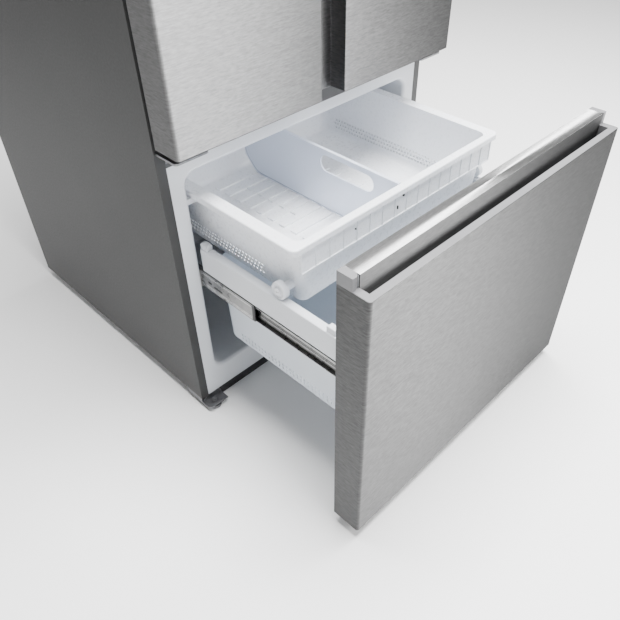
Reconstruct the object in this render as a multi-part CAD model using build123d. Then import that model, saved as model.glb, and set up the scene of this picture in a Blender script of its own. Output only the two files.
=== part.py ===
from build123d import *
import os

# French-door refrigerator over a bottom freezer drawer, in millimetres.
# X runs to the right, Y to the back and Z up. While it is built, y = 0 is the plane of the
# cabinet's front edge and z = 0 is the floor. The freezer drawer is drawn out and its upper
# basket part of the way with it; the two doors above are shut.
# Pieces that slide are described where they stand when shut, then moved out by their travel.

# ---------------------------------------------------------------- case
WIDTH = 755.0
CABINET_DEPTH = 755.0
CABINET_TOP = 1750.0
FLOOR_GAP = 28.0                # from the floor to the lower edge of the sides
SHEET = 1.0                     # painted sheet of the case
HEM = 2.0                       # doubled front edge of the case, and the liners' flanges
EDGE_STRIP = 20.0               # width of the hem round the front
PAN = 2.0                       # bottom pan
SEAT = 0.3                      # air under a piece that rests on another and can move
RUNNING = 0.05                  # radial clearance of pins in their bores
MULLION_BOTTOM = 640.0          # front rail between the two compartments
MULLION_TOP = 690.0
SIDE_WALL = 55.5                # sheet, foam and liner at each side
MACHINE_DEPTH = 245.0           # machine room, in from the back of the case
MACHINE_TOP = 250.0

# ---------------------------------------------------------------- liners and shelves
LINER_WALL = 2.0
LINER_CORNER = 25.0
MOUTH_ROUND = 8.0               # rounding where a liner turns into its flange
FREEZER_FLOOR = 100.0
FREEZER_CEILING_GAP = 28.0      # ceiling, below the front rail
FREEZER_BACK_WALL = 105.0
HUMP_WALL = 60.0                # step in the freezer in front of the machine room
HUMP_TOP = 310.0
FRIDGE_FLOOR_GAP = 45.0         # floor, above the front rail
CEILING_WALL = 60.0
FRIDGE_BACK_WALL = 65.0
GUIDE_REACH = 18.0              # ribs in the freezer that carry the basket's rim
GUIDE_HEIGHT = 11.5
RIB_START = 4.0                 # behind the liner's front edge
SHELF_RIB_REACH = 14.0
SHELF_RIB_HEIGHT = 12.0
SHELF_BOTTOMS = (1162.0, 1382.0)
SHELF_THICK = 18.0
SHELF_FRONT = 150.0
SHELF_BACK_GAP = 30.0
SHELF_BORDER = 25.0
SHELF_REBATE = 8.0
SHELF_SIDE_GAP = 1.0
GLASS = 4.0
CRISPER_COVER = 938.0           # underside of the frame over the crispers
CRISPER_DIVIDE = 7.0            # thickness of the upright between the crispers
CRISPER_GAP = 2.5
CRISPER_SIDE_GAP = 4.0
CRISPER_TOP = 920.0
CRISPER_FRONT = 175.0
CRISPER_BACK_GAP = 50.0
CRISPER_EDGE = 24.0
CRISPER_PULL = (12.0, 26.0)     # depth and height of the pull along the top
DUCT_HALF = 120.0
DUCT_DEPTH = 18.0
DUCT_BOTTOM = 970.0
DUCT_TOP_GAP = 30.0
DUCT_WALL = 2.5
DUCT_VENTS = 8
DUCT_VENT = (60.0, 8.0)
LAMP_HALF = 90.0
LAMP_HEIGHT = 8.0
LAMP_Y = (120.0, 180.0)

# ---------------------------------------------------------------- doors and their hinges
PANEL_FRONT = -75.0             # front faces of the doors and of the shut drawer
PANEL_BACK = -10.0
STEEL = 1.0                     # stainless skin
PANEL_CORNER = 6.0              # rounding of the outer upright edges
POCKET_CORNER = 2.0
GASKET_WIDTH = 20.0
GASKET_INSET = 25.5             # from the side of the case to the gasket
GASKET_ROUND = 8.0
DOOR_BOTTOM = 687.0
DOOR_TOP_GAP = 5.0
DOOR_GAP = 4.0                  # between the two doors
POCKET_HALF = 32.0              # half the width of the upright handle recess
POCKET_DEPTH = 39.0
DOOR_CAP = 5.0                  # plastic cap let into each end of the skin
DOOR_GASKET_IN = (15.0, 25.0)   # gasket, in from the lower and the upper end of a door
PIVOT_IN = 20.5                 # door pivot, in from the side of the case
PIVOT_OUT = 45.0                # door pivot, in front of the case
PIVOT_RADIUS = 5.0
PIVOT_GRIP = 17.0               # how far a pivot pin reaches into its door
BUSH_RADIUS = 9.0
HINGE_PLATE = 4.0
HINGE_TAB = 2.5
HINGE_REACH = 15.0              # plate beyond the pivot, towards the front
HINGE_SIDE = 3.5                # from the side of the case to the plate
HINGE_LENGTH = 74.0             # length of the hinge plates across the case
MIDDLE_HINGE_Z = 672.0
MIDDLE_TAB_LOW = 650.0
TOP_PLATE_BACK = 45.0
HINGE_COVER_HEIGHT = 25.0
HINGE_COVER_WALL = 2.0
HINGE_COVER_BACK = 60.0

DIKE_WIDTH = 18.0               # raised frame on the inside of a door
DIKE_DEPTH = 45.0
DIKE_GAP = 6.0
DIKE_CENTRE = 62.0              # from the middle of the case to the dike
BIN_FRONT = 98.0
BIN_WALL = 3.0
BIN_CORNER = 15.0
BIN_FLOORS = (760.0, 1060.0, 1340.0)
BIN_HEIGHTS = (120.0, 100.0, 100.0)

FLIPPER_THICK = 18.0            # hinged bar that closes the slot between the doors
FLIPPER_WIDTH = 66.0
FLIPPER_FACE = -36.0            # right face of the folded bar
FLIPPER_SETBACK = 4.0           # from the case plane to the folded bar
FLIPPER_GAP = 2.5               # from the case plane to the swung-out bar
FLIPPER_END = 14.0              # from the end of the dike to the lugs
FLIPPER_ARM = 3.7
FLIPPER_LUG = (14.0, 12.0)      # width and height of the lugs that hold its pins
FLIPPER_PIN = 2.5
FLIPPER_EYE = 3.2               # radius of the arm's end, round the pin

# ---------------------------------------------------------------- freezer drawer
DRAWER_REST = 19.0              # the drawer stands out by the freezer's low depth less this
DRAWER_BOTTOM = 31.0
DRAWER_TOP = 634.0              # upper edge of the drawer's steel front
LIP_TOP = 658.0
LIP_DEPTH = 31.0
LIP_SHEET = 2.0
CHANNEL = 19.0                  # finger gap behind the steel front
CHANNEL_FLOOR = 583.0
TROUGH_WALL = 2.0
END_CAP = 15.5
CAP_CHAMFER = 6.0
DRAWER_GASKET_Z = (68.0, 632.0)

SLIDE_BOTTOM = 346.0
SLIDE_TOP = 391.0
SLIDE_SHEET = 1.5
SLIDE_PLAY = 0.4
SLIDE_DEPTH = 11.5              # width of the outer section, away from the wall
SLIDE_STARTS = (4.0, 50.0, -4.0)     # front ends of the wall, middle and drawer sections
SLIDE_ENDS = (4.0, -10.0, -50.0)     # their back ends, behind the step in the freezer
ARM_SHEET = 2.0
ARM_BOTTOM = 343.0
ARM_SHORT = 45.0                # arm's back end, in front of the step in the freezer
ARM_FOOT = 40.0                 # width of the arm's flange on the drawer front
RAIL_TOP = 447.0
RAIL_WALL = 2.5
RAIL_GAP = 3.0                  # from the freezer's wall to a rail
RAIL_WIDTH = 19.0
RAIL_FRONT = -8.0
RAIL_SHORT = 26.0
RAIL_LEDGE = (6.0, 4.0)         # reach and thickness of the shelf for the lower bin
STOP_LENGTH = 20.0
STOP_HEIGHT = 13.0
STOP_FRONT = 49.5

BIN_RIM_TOP = 417.0
BIN_RIM = 4.0
BIN_RIM_GAP = 1.0               # from a rail to the rim
BIN_RIM_REACH = 7.0
LOWER_BIN_BOTTOM = 195.0
LOWER_BIN_FRONT = 6.0
LOWER_BIN_SHORT = 36.0
LOWER_BIN_DRAFT = 6.0
LOWER_BIN_CORNER = 22.0
LOWER_BIN_EDGE = 16.0
BIN_SLOT = (3.0, 7.0)           # vents along the foot of the lower bin's sides
BIN_SLOT_PITCH = 11.0
BIN_SLOT_START = 40.0
BIN_SLOT_END = 38.0             # after the last slot, to the back of the bin
BIN_SLOT_ROWS = (218.0, 228.0)
TUB_WALL = 3.0

# ---------------------------------------------------------------- upper basket
BASKET_OPEN = 325.0
BASKET_FRONT = 45.0             # rim of the basket when shut
BASKET_BACK_GAP = 8.0
BASKET_SIDE_GAP = 9.0
BASKET_TOP = 571.0
BASKET_BOTTOM = 422.0
RIM_HEIGHT = 13.0
RIM_WIDTH = 13.0                # rim at the front and the back
RIM_SIDE = 24.0                 # rim along the sides
RIM_CORNER = 14.0
BASKET_DRAFT = 12.0
BASKET_END_DRAFT = 5.5
BASKET_CORNER = 20.0
BASKET_EDGE = 14.0              # rounding between the basket's floor and walls
SKIRT_HEIGHT = 46.0             # ribbed band under the front of the rim
SKIRT_SETBACK = 3.0
SKIRT_SHORT = 21.0              # skirt, in from the side of the rim
SKIRT_RIB = 1.5
SKIRT_RECESS = 2.0              # panel of the skirt, behind the front of its ribs
SKIRT_BEAD = 2.0                # height of the bead along its foot
SKIRT_CELLS = 16
FLOOR_RIB_HEIGHT = 4.0
FLOOR_RIB_PITCH = 37.0
FLOOR_RIB_WIDTH = 18.0
FLOOR_RIB_HALF = 128.0
FLOOR_RIB_BACK = 65.0           # last rib, in front of the back of the rim
FLOOR_RIB_FRONT = 85.0          # first rib, behind the front of the rim, or a little less
FLOOR_RIDGE_X = -75.0
FLOOR_RIDGE_Y = (291.0, 459.0)
FLOOR_RIDGE = 4.0               # width of a lower ridge along the floor
VENT_PITCH = 9.5
VENT_START = 168.0
VENT_END = 58.0                 # after the last slot, to the back of the rim
VENT_SIZE = (5.0, 5.0)
VENT_ROWS = (445.0, 454.5, 464.0)
WHEEL_RADIUS = 18.0
WHEEL_WIDTH = 15.0
WHEEL_IN = 11.5                 # wheel's inner face, in from the side of the rim
WHEEL_AXLE = 4.0
WHEEL_BOSS = 9.0
WHEEL_CLIP = (7.0, 1.7)         # radius and thickness of the disc that holds a wheel on
WHEEL_BACK = 43.0               # axle behind the front of the rim

DIVIDER_X = -12.0
DIVIDER_PLATE = 4.0
DIVIDER_ENDS = (23.5, 37.0)     # plate, in from the front and the back of the rim
DIVIDER_BAR = (8.0, 10.0)
DIVIDER_BAR_ENDS = (17.0, 17.0)
DIVIDER_TOP = 573.0
DIVIDER_CUT = 38.0              # slanted lower back corner
DIVIDER_ROUND = 24.0
DIVIDER_HOLE = (152.0, 38.0)    # length and height of the hand hole
DIVIDER_HOLE_AT = (200.5, 541.0)

# ---------------------------------------------------------------- cooling parts
COIL_SPACE = 72.0               # panel in front of the evaporator, from the back wall
COVER_SHEET = 3.0
COVER_VENTS = 20
COVER_VENT = (14.0, 26.0)
COIL_SIDE_GAP = 92.0
COIL_FINS = 24
COIL_FIN = 1.0
COIL_BACK_GAPS = (58.0, 5.0)    # front and back of the fins, from the back wall
COIL_Z = (325.0, 490.0)
COIL_TUBE = 4.0
COIL_ROWS = 4
COIL_INSET = 16.0               # tubes, in from the front and back of the fins
COIL_BRACKET = 2.0
FREEZER_FAN_DROP = 60.0         # from the freezer's ceiling down to the fan
FREEZER_FAN_RADIUS = 42.0
FREEZER_HUB = 12.0
FAN_RING = 50.0
FAN_STRUT = 3.0
FAN_SHAFT = 3.0
FAN_WIDTH = 15.0
FAN_BLADES = 5
BLADE = (18.0, 2.0)             # chord and thickness of a fan blade
BLADE_TILT = 32.0
FREEZER_MOTOR = (18.0, 16.0)
COMPRESSOR_IN = (187.5, 115.0)  # from the left side and the back of the case
COMPRESSOR_RADIUS = 72.0
COMPRESSOR_Z = (60.0, 190.0)
COMPRESSOR_DOME = 25.0
COMPRESSOR_PLATE = 160.0
COMPRESSOR_SHEET = 4.0
COMPRESSOR_FOOT = 50.0
GROMMET = (10.0, 6.0)           # radius and height of the rubber feet
GROMMET_IN = 15.0
PIPE_RADIUS = 5.0
CONDENSER_START = 36.0
CONDENSER_SIDE = 73.5           # from the right side of the case
CONDENSER_BACK = (195.0, 35.0)
CONDENSER_Z = (60.0, 230.0)
CONDENSER_FINS = 18
TRAY_GAP = 4.0
TRAY_HEIGHT = 22.0
SHROUD_X = (-33.0, -30.0)
SHROUD_BACK = (215.0, 15.0)
SHROUD_TOP = 240.0
SHROUD_HOLE = 72.0
SHROUD_BAR = 6.0
MACHINE_FAN_Z = 140.0
MACHINE_FAN_RADIUS = 68.0
MACHINE_HUB = 16.0
MACHINE_MOTOR = (24.0, 36.0)
VENT_SLOT = (40.0, 6.0)
SLOT_PITCH = (80.0, 36.0)
SLOT_COLUMNS = 7
SLOT_ROWS = 5
INLET_IN = 42.5                 # from the right side of the case
INLET_Z = 192.0
INLET_SIZE = (30.0, 25.0)
INLET_DEPTH = 27.0
INLET_WALL = 3.0
INLET_PIN = (2.0, 6.0)          # width and height of the three pins
INLET_PITCH = 6.5

# ---------------------------------------------------------------- what it stands on
FOOT_RADIUS = 15.0
FOOT_HEIGHT = 8.0
FOOT_STEM = 4.0
FOOT_TOP = 26.0
FOOT_NUT = (7.0, 4.5)
FOOT_IN = 25.5
FOOT_OUT = 14.0
BRACKET = 2.5
BRACKET_LOW = 14.0
BRACKET_FRONT = -29.0
BRACKET_BACK = 60.0
BRACKET_TOP = 29.0
BRACKET_CORNER = 10.0
ROLLER_RADIUS = 13.5
ROLLER_WIDTH = 18.0
ROLLER_AXLE = 4.0
ROLLER_IN = (47.5, 55.0)        # from the side and the back of the case
ROLLER_EAR = (3.0, 20.0, 8.0)   # thickness, length and lower edge of the ears
TOE_Y = (2.0, 16.0)
TOE_BOTTOM = 3.0

# ---------------------------------------------------------------- worked-out sizes
HALF = WIDTH / 2
CAVITY_HALF = HALF - SIDE_WALL
SKIN_HALF = HALF - SHEET
OPENING_HALF = HALF - EDGE_STRIP
FREEZER_CEILING = MULLION_BOTTOM - FREEZER_CEILING_GAP
FRIDGE_FLOOR = MULLION_TOP + FRIDGE_FLOOR_GAP
FREEZER_FAN_Z = FREEZER_CEILING - FREEZER_FAN_DROP
BACK_SHEET = CABINET_DEPTH - SHEET
TOP_SHEET = CABINET_TOP - SHEET
PAN_TOP = FLOOR_GAP + PAN
MACHINE_FRONT = CABINET_DEPTH - MACHINE_DEPTH
HUMP_FRONT = MACHINE_FRONT - HUMP_WALL
DRAWER_OPEN = HUMP_FRONT - DRAWER_REST
FREEZER_DEPTH = CABINET_DEPTH - FREEZER_BACK_WALL
COVER_FRONT = FREEZER_DEPTH - COIL_SPACE
FRIDGE_DEPTH = CABINET_DEPTH - FRIDGE_BACK_WALL
FRIDGE_CEILING = CABINET_TOP - CEILING_WALL
SHELF_BACK = FRIDGE_DEPTH - SHELF_BACK_GAP
CRISPER_BACK = FRIDGE_DEPTH - CRISPER_BACK_GAP
DUCT_Z = (DUCT_BOTTOM, FRIDGE_CEILING - DUCT_TOP_GAP)
DOOR_TOP = CABINET_TOP - DOOR_TOP_GAP
DOOR_GASKET_Z = (DOOR_BOTTOM + DOOR_GASKET_IN[0], DOOR_TOP - DOOR_GASKET_IN[1])
HINGE_INNER = HALF - HINGE_SIDE - HINGE_LENGTH
PIVOT_X = HALF - PIVOT_IN
LIP_FRONT = PANEL_BACK - LIP_DEPTH
CHANNEL_FRONT = LIP_FRONT - CHANNEL
CAP_INNER = HALF - END_CAP
ARM_OUTER = CAVITY_HALF - SLIDE_DEPTH - 2 * SLIDE_PLAY
RAIL_OUTER = CAVITY_HALF - RAIL_GAP
RAIL_INNER = RAIL_OUTER - RAIL_WIDTH
RAIL_BACK = HUMP_FRONT - RAIL_SHORT
BIN_RIM_HALF = RAIL_INNER - BIN_RIM_GAP
LOWER_BIN_HALF = BIN_RIM_HALF - BIN_RIM_REACH
LOWER_BIN_Y = (LOWER_BIN_FRONT, HUMP_FRONT - LOWER_BIN_SHORT)
BASKET_HALF = CAVITY_HALF - BASKET_SIDE_GAP
SKIRT_HALF = BASKET_HALF - SKIRT_SHORT
WHEEL_INNER = BASKET_HALF - WHEEL_IN
WALL_HALF = BASKET_HALF - RIM_SIDE
BASKET_BACK = COVER_FRONT - BASKET_BACK_GAP
BASKET_FLOOR = BASKET_BOTTOM + TUB_WALL
RIM_BOTTOM = BASKET_TOP - RIM_HEIGHT
WHEEL_AT = (BASKET_FRONT + WHEEL_BACK, RAIL_TOP + SEAT + WHEEL_RADIUS)
FOLDED_X = FLIPPER_GAP + FLIPPER_FACE
FOLDED_Y = FLIPPER_WIDTH / 2 + FLIPPER_SETBACK
FLIPPER_AXIS = ((FOLDED_X - FOLDED_Y) / 2, (FOLDED_X + FOLDED_Y) / 2)
DIKE_Z = (FRIDGE_FLOOR + DIKE_GAP, FRIDGE_CEILING - DIKE_GAP)
BIN_SLOT_COUNT = int((LOWER_BIN_Y[1] - BIN_SLOT_START - BIN_SLOT_END) / BIN_SLOT_PITCH)
VENT_COUNT = int((BASKET_BACK - VENT_START - VENT_END) / VENT_PITCH)
FLOOR_RIB_RUN = BASKET_BACK - FLOOR_RIB_BACK - BASKET_FRONT - FLOOR_RIB_FRONT
FLOOR_RIB_COUNT = int(FLOOR_RIB_RUN / FLOOR_RIB_PITCH) + 1
DIVIDER_Y = (BASKET_FRONT + DIVIDER_ENDS[0], BASKET_BACK - DIVIDER_ENDS[1])
DIVIDER_BAR_Y = (BASKET_FRONT + DIVIDER_BAR_ENDS[0], BASKET_BACK - DIVIDER_BAR_ENDS[1])
COIL_HALF = CAVITY_HALF - COIL_SIDE_GAP
COIL_Y = (FREEZER_DEPTH - COIL_BACK_GAPS[0], FREEZER_DEPTH - COIL_BACK_GAPS[1])
COMPRESSOR_AT = (COMPRESSOR_IN[0] - HALF, CABINET_DEPTH - COMPRESSOR_IN[1])
CONDENSER_X = (CONDENSER_START, HALF - CONDENSER_SIDE)
CONDENSER_Y = (CABINET_DEPTH - CONDENSER_BACK[0], CABINET_DEPTH - CONDENSER_BACK[1])
SHROUD_Y = (CABINET_DEPTH - SHROUD_BACK[0], CABINET_DEPTH - SHROUD_BACK[1])
MACHINE_FAN = ((SHROUD_Y[0] + SHROUD_Y[1]) / 2, MACHINE_FAN_Z)
INLET_AT = (HALF - INLET_IN, INLET_Z)
FOOT_AT = (HALF - FOOT_IN, -FOOT_OUT)
ROLLER_AT = (HALF - ROLLER_IN[0], CABINET_DEPTH - ROLLER_IN[1])
ORIGIN_Y = (CABINET_DEPTH + PANEL_FRONT - DRAWER_OPEN) / 2


# ---------------------------------------------------------------- shape helpers
def block(x, y, z):
    """A box between a low and a high limit on each axis."""
    limits = [sorted(pair) for pair in (x, y, z)]
    middle = [(low + high) / 2 for low, high in limits]
    size = [high - low for low, high in limits]
    return Pos(*middle) * Box(*size)


def rod(start, end, radius):
    """A cylinder from one point to another."""
    along = Vector(*end) - Vector(*start)
    seat = Plane(origin=start, z_dir=along)
    return seat * Cylinder(radius, along.length, align=(Align.CENTER, Align.CENTER, Align.MIN))


def prism(points, z):
    """A flat outline in plan, raised between two heights."""
    face = Plane.XY.offset(z[0]) * Polygon(*points, align=None)
    return extrude(face, amount=z[1] - z[0], dir=(0, 0, 1))


def side_prism(points, x):
    """An outline of (y, z) points, drawn out between two places across the width."""
    face = Plane.YZ.offset(x[0]) * Polygon(*points, align=None)
    return extrude(face, amount=x[1] - x[0], dir=(1, 0, 0))


def ring(x, z, y, width, radius=0.0):
    """A flat rectangular frame facing the front, with rounded outer corners."""
    outer = block(x, y, z)
    if radius:
        outer = fillet(outer.edges().filter_by(Axis.Y), radius)
    hole_x = (x[0] + width, x[1] - width)
    hole_z = (z[0] + width, z[1] - width)
    return outer - block(hole_x, (y[0] - width, y[1] + width), hole_z)


def round_uprights(solid, places, radius):
    """Round the upright edges that stand at the given plan positions."""
    def stands_at(edge):
        centre = edge.center()
        return any(abs(centre.X - x) + abs(centre.Y - y) < radius / 10 for x, y in places)
    return fillet([edge for edge in solid.edges().filter_by(Axis.Z) if stands_at(edge)], radius)


def mirrored(shape):
    """The same piece on the other side of the refrigerator."""
    return mirror(shape, about=Plane.YZ)


def pair(shape):
    """A piece and its mirror image, as separate solids."""
    return shape + mirrored(shape)


def tub(half, y, z, draft, corner, edge):
    """A solid that widens upwards, rounded at its corners and round its floor.

    half and y are its half width and its front and back at the top; draft says how much the
    sides and the ends lean in by the bottom.
    """
    middle = (y[0] + y[1]) / 2
    length = y[1] - y[0]
    low = Plane.XY.offset(z[0]) * Pos(0, middle) * RectangleRounded(
        2 * (half - draft[0]), length - 2 * draft[1], corner)
    high = Plane.XY.offset(z[1]) * Pos(0, middle) * RectangleRounded(2 * half, length, corner)
    body = loft([low, high])
    return fillet(body.faces().sort_by(Axis.Z)[0].edges(), edge)


def hollow_tub(half, y, z, draft, corner, edge, wall):
    """An open tub with walls and floor of one thickness."""
    outer = tub(half, y, z, draft, corner, edge)
    inner_y = (y[0] + wall, y[1] - wall)
    inner_z = (z[0] + wall, z[1])
    return outer - tub(half - wall, inner_y, inner_z, draft, corner - wall, edge - wall)


# ---------------------------------------------------------------- case
def cavity(half, floor, ceiling, depth, corner):
    """The space inside a compartment, rounded along its four long edges."""
    space = block((-half, half), (-depth, depth), (floor, ceiling))
    return fillet(space.edges().filter_by(Axis.Y), corner)


def freezer_space(wall):
    """The freezer's inside, or with a wall its liner's outside, over the step at the back."""
    space = cavity(CAVITY_HALF + wall, FREEZER_FLOOR - wall, FREEZER_CEILING + wall,
                   FREEZER_DEPTH + wall, LINER_CORNER + wall)
    step = block((-WIDTH, WIDTH), (HUMP_FRONT + wall, CABINET_DEPTH), (0, HUMP_TOP - wall))
    return space - step


def fridge_space(wall):
    """The fresh-food compartment's inside, or with a wall its liner's outside."""
    return cavity(CAVITY_HALF + wall, FRIDGE_FLOOR - wall, FRIDGE_CEILING + wall,
                  FRIDGE_DEPTH + wall, LINER_CORNER + wall)


def machine_room():
    """The notch for the compressor, low down at the back."""
    return block((-SKIN_HALF, SKIN_HALF), (MACHINE_FRONT, BACK_SHEET), (PAN_TOP, MACHINE_TOP))


def flared(space, depth, radius):
    """A compartment's space opened out to the front, with its mouth rounded off.

    depth is where the flat front of the surface lies, and radius its rounding.
    """
    front = block((-WIDTH, WIDTH), (-CABINET_DEPTH, depth), (-CABINET_TOP, 2 * CABINET_TOP))
    whole = space + front
    mouth = [edge for edge in whole.edges() if abs(edge.center().Y - depth) < SEAT
             and abs(edge.center().X) < HALF and 0 < edge.center().Z < CABINET_TOP]
    return fillet(mouth, radius)


def liner(space_of, low, high):
    """A sheet of one thickness that lines a compartment and turns out into its flange."""
    inner = flared(space_of(0), 0, MOUTH_ROUND)
    outer = flared(space_of(LINER_WALL), HEM, MOUTH_ROUND - LINER_WALL)
    frame = block((-OPENING_HALF, OPENING_HALF), (0, CABINET_DEPTH), (low, high))
    return (outer & frame) - inner, outer & frame


def liners():
    """The two white inner boxes, each with a front flange and the ribs that carry things."""
    freezer, _ = liner(freezer_space, PAN_TOP, MULLION_BOTTOM)
    guide = block((CAVITY_HALF - GUIDE_REACH, CAVITY_HALF + LINER_WALL - SEAT),
                  (RIB_START, COVER_FRONT),
                  (RIM_BOTTOM - SEAT - GUIDE_HEIGHT, RIM_BOTTOM - SEAT))
    freezer += pair(guide)

    fridge, _ = liner(fridge_space, MULLION_TOP, CABINET_TOP - EDGE_STRIP)
    for top in (CRISPER_COVER, *SHELF_BOTTOMS):
        rib = block((CAVITY_HALF - SHELF_RIB_REACH, CAVITY_HALF + LINER_WALL / 2),
                    (SHELF_FRONT, SHELF_BACK), (top - SHELF_RIB_HEIGHT, top))
        fridge += pair(rib)
    return {"freezer_liner": freezer, "fridge_liner": fridge}


def case():
    """Painted wrapper, back, bottom pan, foam and the trim round the front."""
    outside = block((-HALF, HALF), (0, CABINET_DEPTH), (FLOOR_GAP, CABINET_TOP))
    inside = block((-SKIN_HALF, SKIN_HALF), (HEM, 2 * CABINET_DEPTH), (0, TOP_SHEET))
    window = block((-OPENING_HALF, OPENING_HALF), (-HEM, 2 * HEM), (0, CABINET_TOP - EDGE_STRIP))
    wrapper = outside - inside - window

    back = block((-SKIN_HALF, SKIN_HALF), (BACK_SHEET, CABINET_DEPTH), (MACHINE_TOP, TOP_SHEET))

    foam = block((-SKIN_HALF, SKIN_HALF), (HEM, BACK_SHEET), (PAN_TOP, TOP_SHEET))
    _, freezer_room = liner(freezer_space, PAN_TOP, MULLION_BOTTOM)
    _, fridge_room = liner(fridge_space, MULLION_TOP, CABINET_TOP - EDGE_STRIP)
    foam = foam - freezer_room - fridge_room - machine_room()

    mullion = block((-OPENING_HALF, OPENING_HALF), (0, HEM), (MULLION_BOTTOM, MULLION_TOP))

    toe = block((-CAVITY_HALF, CAVITY_HALF), TOE_Y, (TOE_BOTTOM, FLOOR_GAP))
    return {"case_wrapper": wrapper, "back_panel": back, "foam_body": foam,
            "mullion_rail": mullion, "toe_strip": toe, "base_pan": base_pan()}


def base_pan():
    """The bottom sheet, with an ear each side of each rear roller and the roller's axle."""
    pan = block((-SKIN_HALF, SKIN_HALF), (HEM, BACK_SHEET), (FLOOR_GAP, PAN_TOP))
    x, y = ROLLER_AT
    ear, length, low = ROLLER_EAR
    inner = x - ROLLER_WIDTH / 2 - 2 * SEAT
    outer = x + ROLLER_WIDTH / 2 + 2 * SEAT
    for start in (inner - ear, outer):
        pan += pair(block((start, start + ear), (y - length / 2, y + length / 2),
                          (low, FLOOR_GAP)))
    axle = rod((inner - ear, y, ROLLER_RADIUS), (outer + ear, y, ROLLER_RADIUS), ROLLER_AXLE)
    return pan + pair(axle)


def feet():
    """Front levelling legs in their steel brackets, and the rear rollers."""
    x, y = FOOT_AT
    hole = rod((x, y, 0), (x, y, FLOOR_GAP), FOOT_STEM + RUNNING)
    plate_top = BRACKET_LOW + BRACKET
    plate = block((CAVITY_HALF, HALF), (BRACKET_FRONT, BRACKET_BACK), (BRACKET_LOW, plate_top))
    plate = round_uprights(plate, [(HALF, BRACKET_FRONT)], BRACKET_CORNER)
    side = block((HALF - BRACKET, HALF), (HEM, BRACKET_BACK), (BRACKET_LOW, FLOOR_GAP))
    upper = block((CAVITY_HALF, HALF), (HEM, BRACKET_BACK), (FLOOR_GAP - BRACKET, FLOOR_GAP))
    upright = block((CAVITY_HALF, HALF - BRACKET), (-BRACKET, 0), (BRACKET_LOW, BRACKET_TOP))
    upright = fillet(upright.edges().filter_by(Axis.Y).group_by(Axis.Z)[-1], BRACKET_CORNER)
    bracket = plate + side + upper + upright - hole

    nut_radius, nut_height = FOOT_NUT
    under = BRACKET_LOW - SEAT
    over = plate_top + SEAT
    leg = rod((x, y, 0), (x, y, FOOT_HEIGHT), FOOT_RADIUS)
    leg = fillet(leg.edges().group_by(Axis.Z)[-1], FOOT_HEIGHT / 2)
    leg += rod((x, y, FOOT_HEIGHT), (x, y, FOOT_TOP), FOOT_STEM)
    for low in (under - nut_height, over):
        nut = RegularPolygon(nut_radius, 6)
        leg += extrude(Plane.XY.offset(low) * Pos(x, y) * nut, amount=nut_height)

    x, y = ROLLER_AT
    centre = (y, ROLLER_RADIUS)
    wheel = rod((x - ROLLER_WIDTH / 2, *centre), (x + ROLLER_WIDTH / 2, *centre), ROLLER_RADIUS)
    wheel = fillet(wheel.edges(), ROLLER_EAR[0] / 2)
    wheel -= rod((x - ROLLER_WIDTH, *centre), (x + ROLLER_WIDTH, *centre), ROLLER_AXLE + RUNNING)
    return {"leg_brackets": pair(bracket),
            "left_leg": mirrored(leg), "right_leg": leg,
            "left_rear_roller": mirrored(wheel), "right_rear_roller": wheel}


# ---------------------------------------------------------------- fresh-food compartment
def shelf(bottom, front, back):
    """A plastic frame with a glass pane let into its top."""
    half = CAVITY_HALF - SHELF_SIDE_GAP
    top = bottom + SHELF_THICK
    frame = block((-half, half), (front, back), (bottom, top))
    inner = half - SHELF_BORDER
    frame -= block((-inner, inner), (front + SHELF_BORDER, back - SHELF_BORDER), (bottom - 1, top))
    seat = inner + SHELF_REBATE
    edge = SHELF_BORDER - SHELF_REBATE
    frame -= block((-seat, seat), (front + edge, back - edge), (top - GLASS, top))
    pane_half = seat - SEAT
    pane = block((-pane_half, pane_half), (front + edge + SEAT, back - edge - SEAT),
                 (top - GLASS, top))
    return frame, pane


def shelves():
    """Two full-width shelves, and the glazed frame over the crispers with its middle wall."""
    cover, panes = shelf(CRISPER_COVER, SHELF_FRONT, SHELF_BACK)
    wall = block((-CRISPER_DIVIDE / 2, CRISPER_DIVIDE / 2), (SHELF_FRONT, SHELF_BACK),
                 (FRIDGE_FLOOR, CRISPER_COVER))
    frames = None
    for bottom in SHELF_BOTTOMS:
        frame, pane = shelf(bottom, SHELF_FRONT, SHELF_BACK)
        frames = frame if frames is None else frames + frame
        panes += pane
    beam = block((-CRISPER_DIVIDE / 2, CRISPER_DIVIDE / 2),
                 (SHELF_FRONT, SHELF_BACK),
                 (CRISPER_COVER, CRISPER_COVER + SHELF_THICK - GLASS))
    return {"crisper_frame": cover + wall + beam, "shelf_frames": frames, "glass_panes": panes}


def crispers():
    """Two open bins that slide on the floor of the compartment."""
    inner = CRISPER_DIVIDE / 2 + CRISPER_GAP
    outer = CAVITY_HALF - CRISPER_SIDE_GAP
    y = (CRISPER_FRONT, CRISPER_BACK)
    floor = FRIDGE_FLOOR + SEAT
    body = block((inner, outer), y, (floor, CRISPER_TOP))
    body = fillet(body.edges().filter_by(Axis.Y).group_by(Axis.Z)[0], CRISPER_EDGE)
    hollow = block((inner + TUB_WALL, outer - TUB_WALL), (y[0] + TUB_WALL, y[1] - TUB_WALL),
                   (floor + TUB_WALL, 2 * CRISPER_TOP))
    hollow = fillet(hollow.edges().filter_by(Axis.Y).group_by(Axis.Z)[0], CRISPER_EDGE - TUB_WALL)
    depth, height = CRISPER_PULL
    pull = block((inner, outer), (CRISPER_FRONT - depth, CRISPER_FRONT + TUB_WALL),
                 (CRISPER_TOP - height, CRISPER_TOP))
    grip = block((inner - 1, outer + 1), (CRISPER_FRONT - depth + TUB_WALL, CRISPER_FRONT),
                 (0, CRISPER_TOP - TUB_WALL))
    crisper = body - hollow + (pull - grip)
    return {"left_crisper": mirrored(crisper), "right_crisper": crisper}


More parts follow.
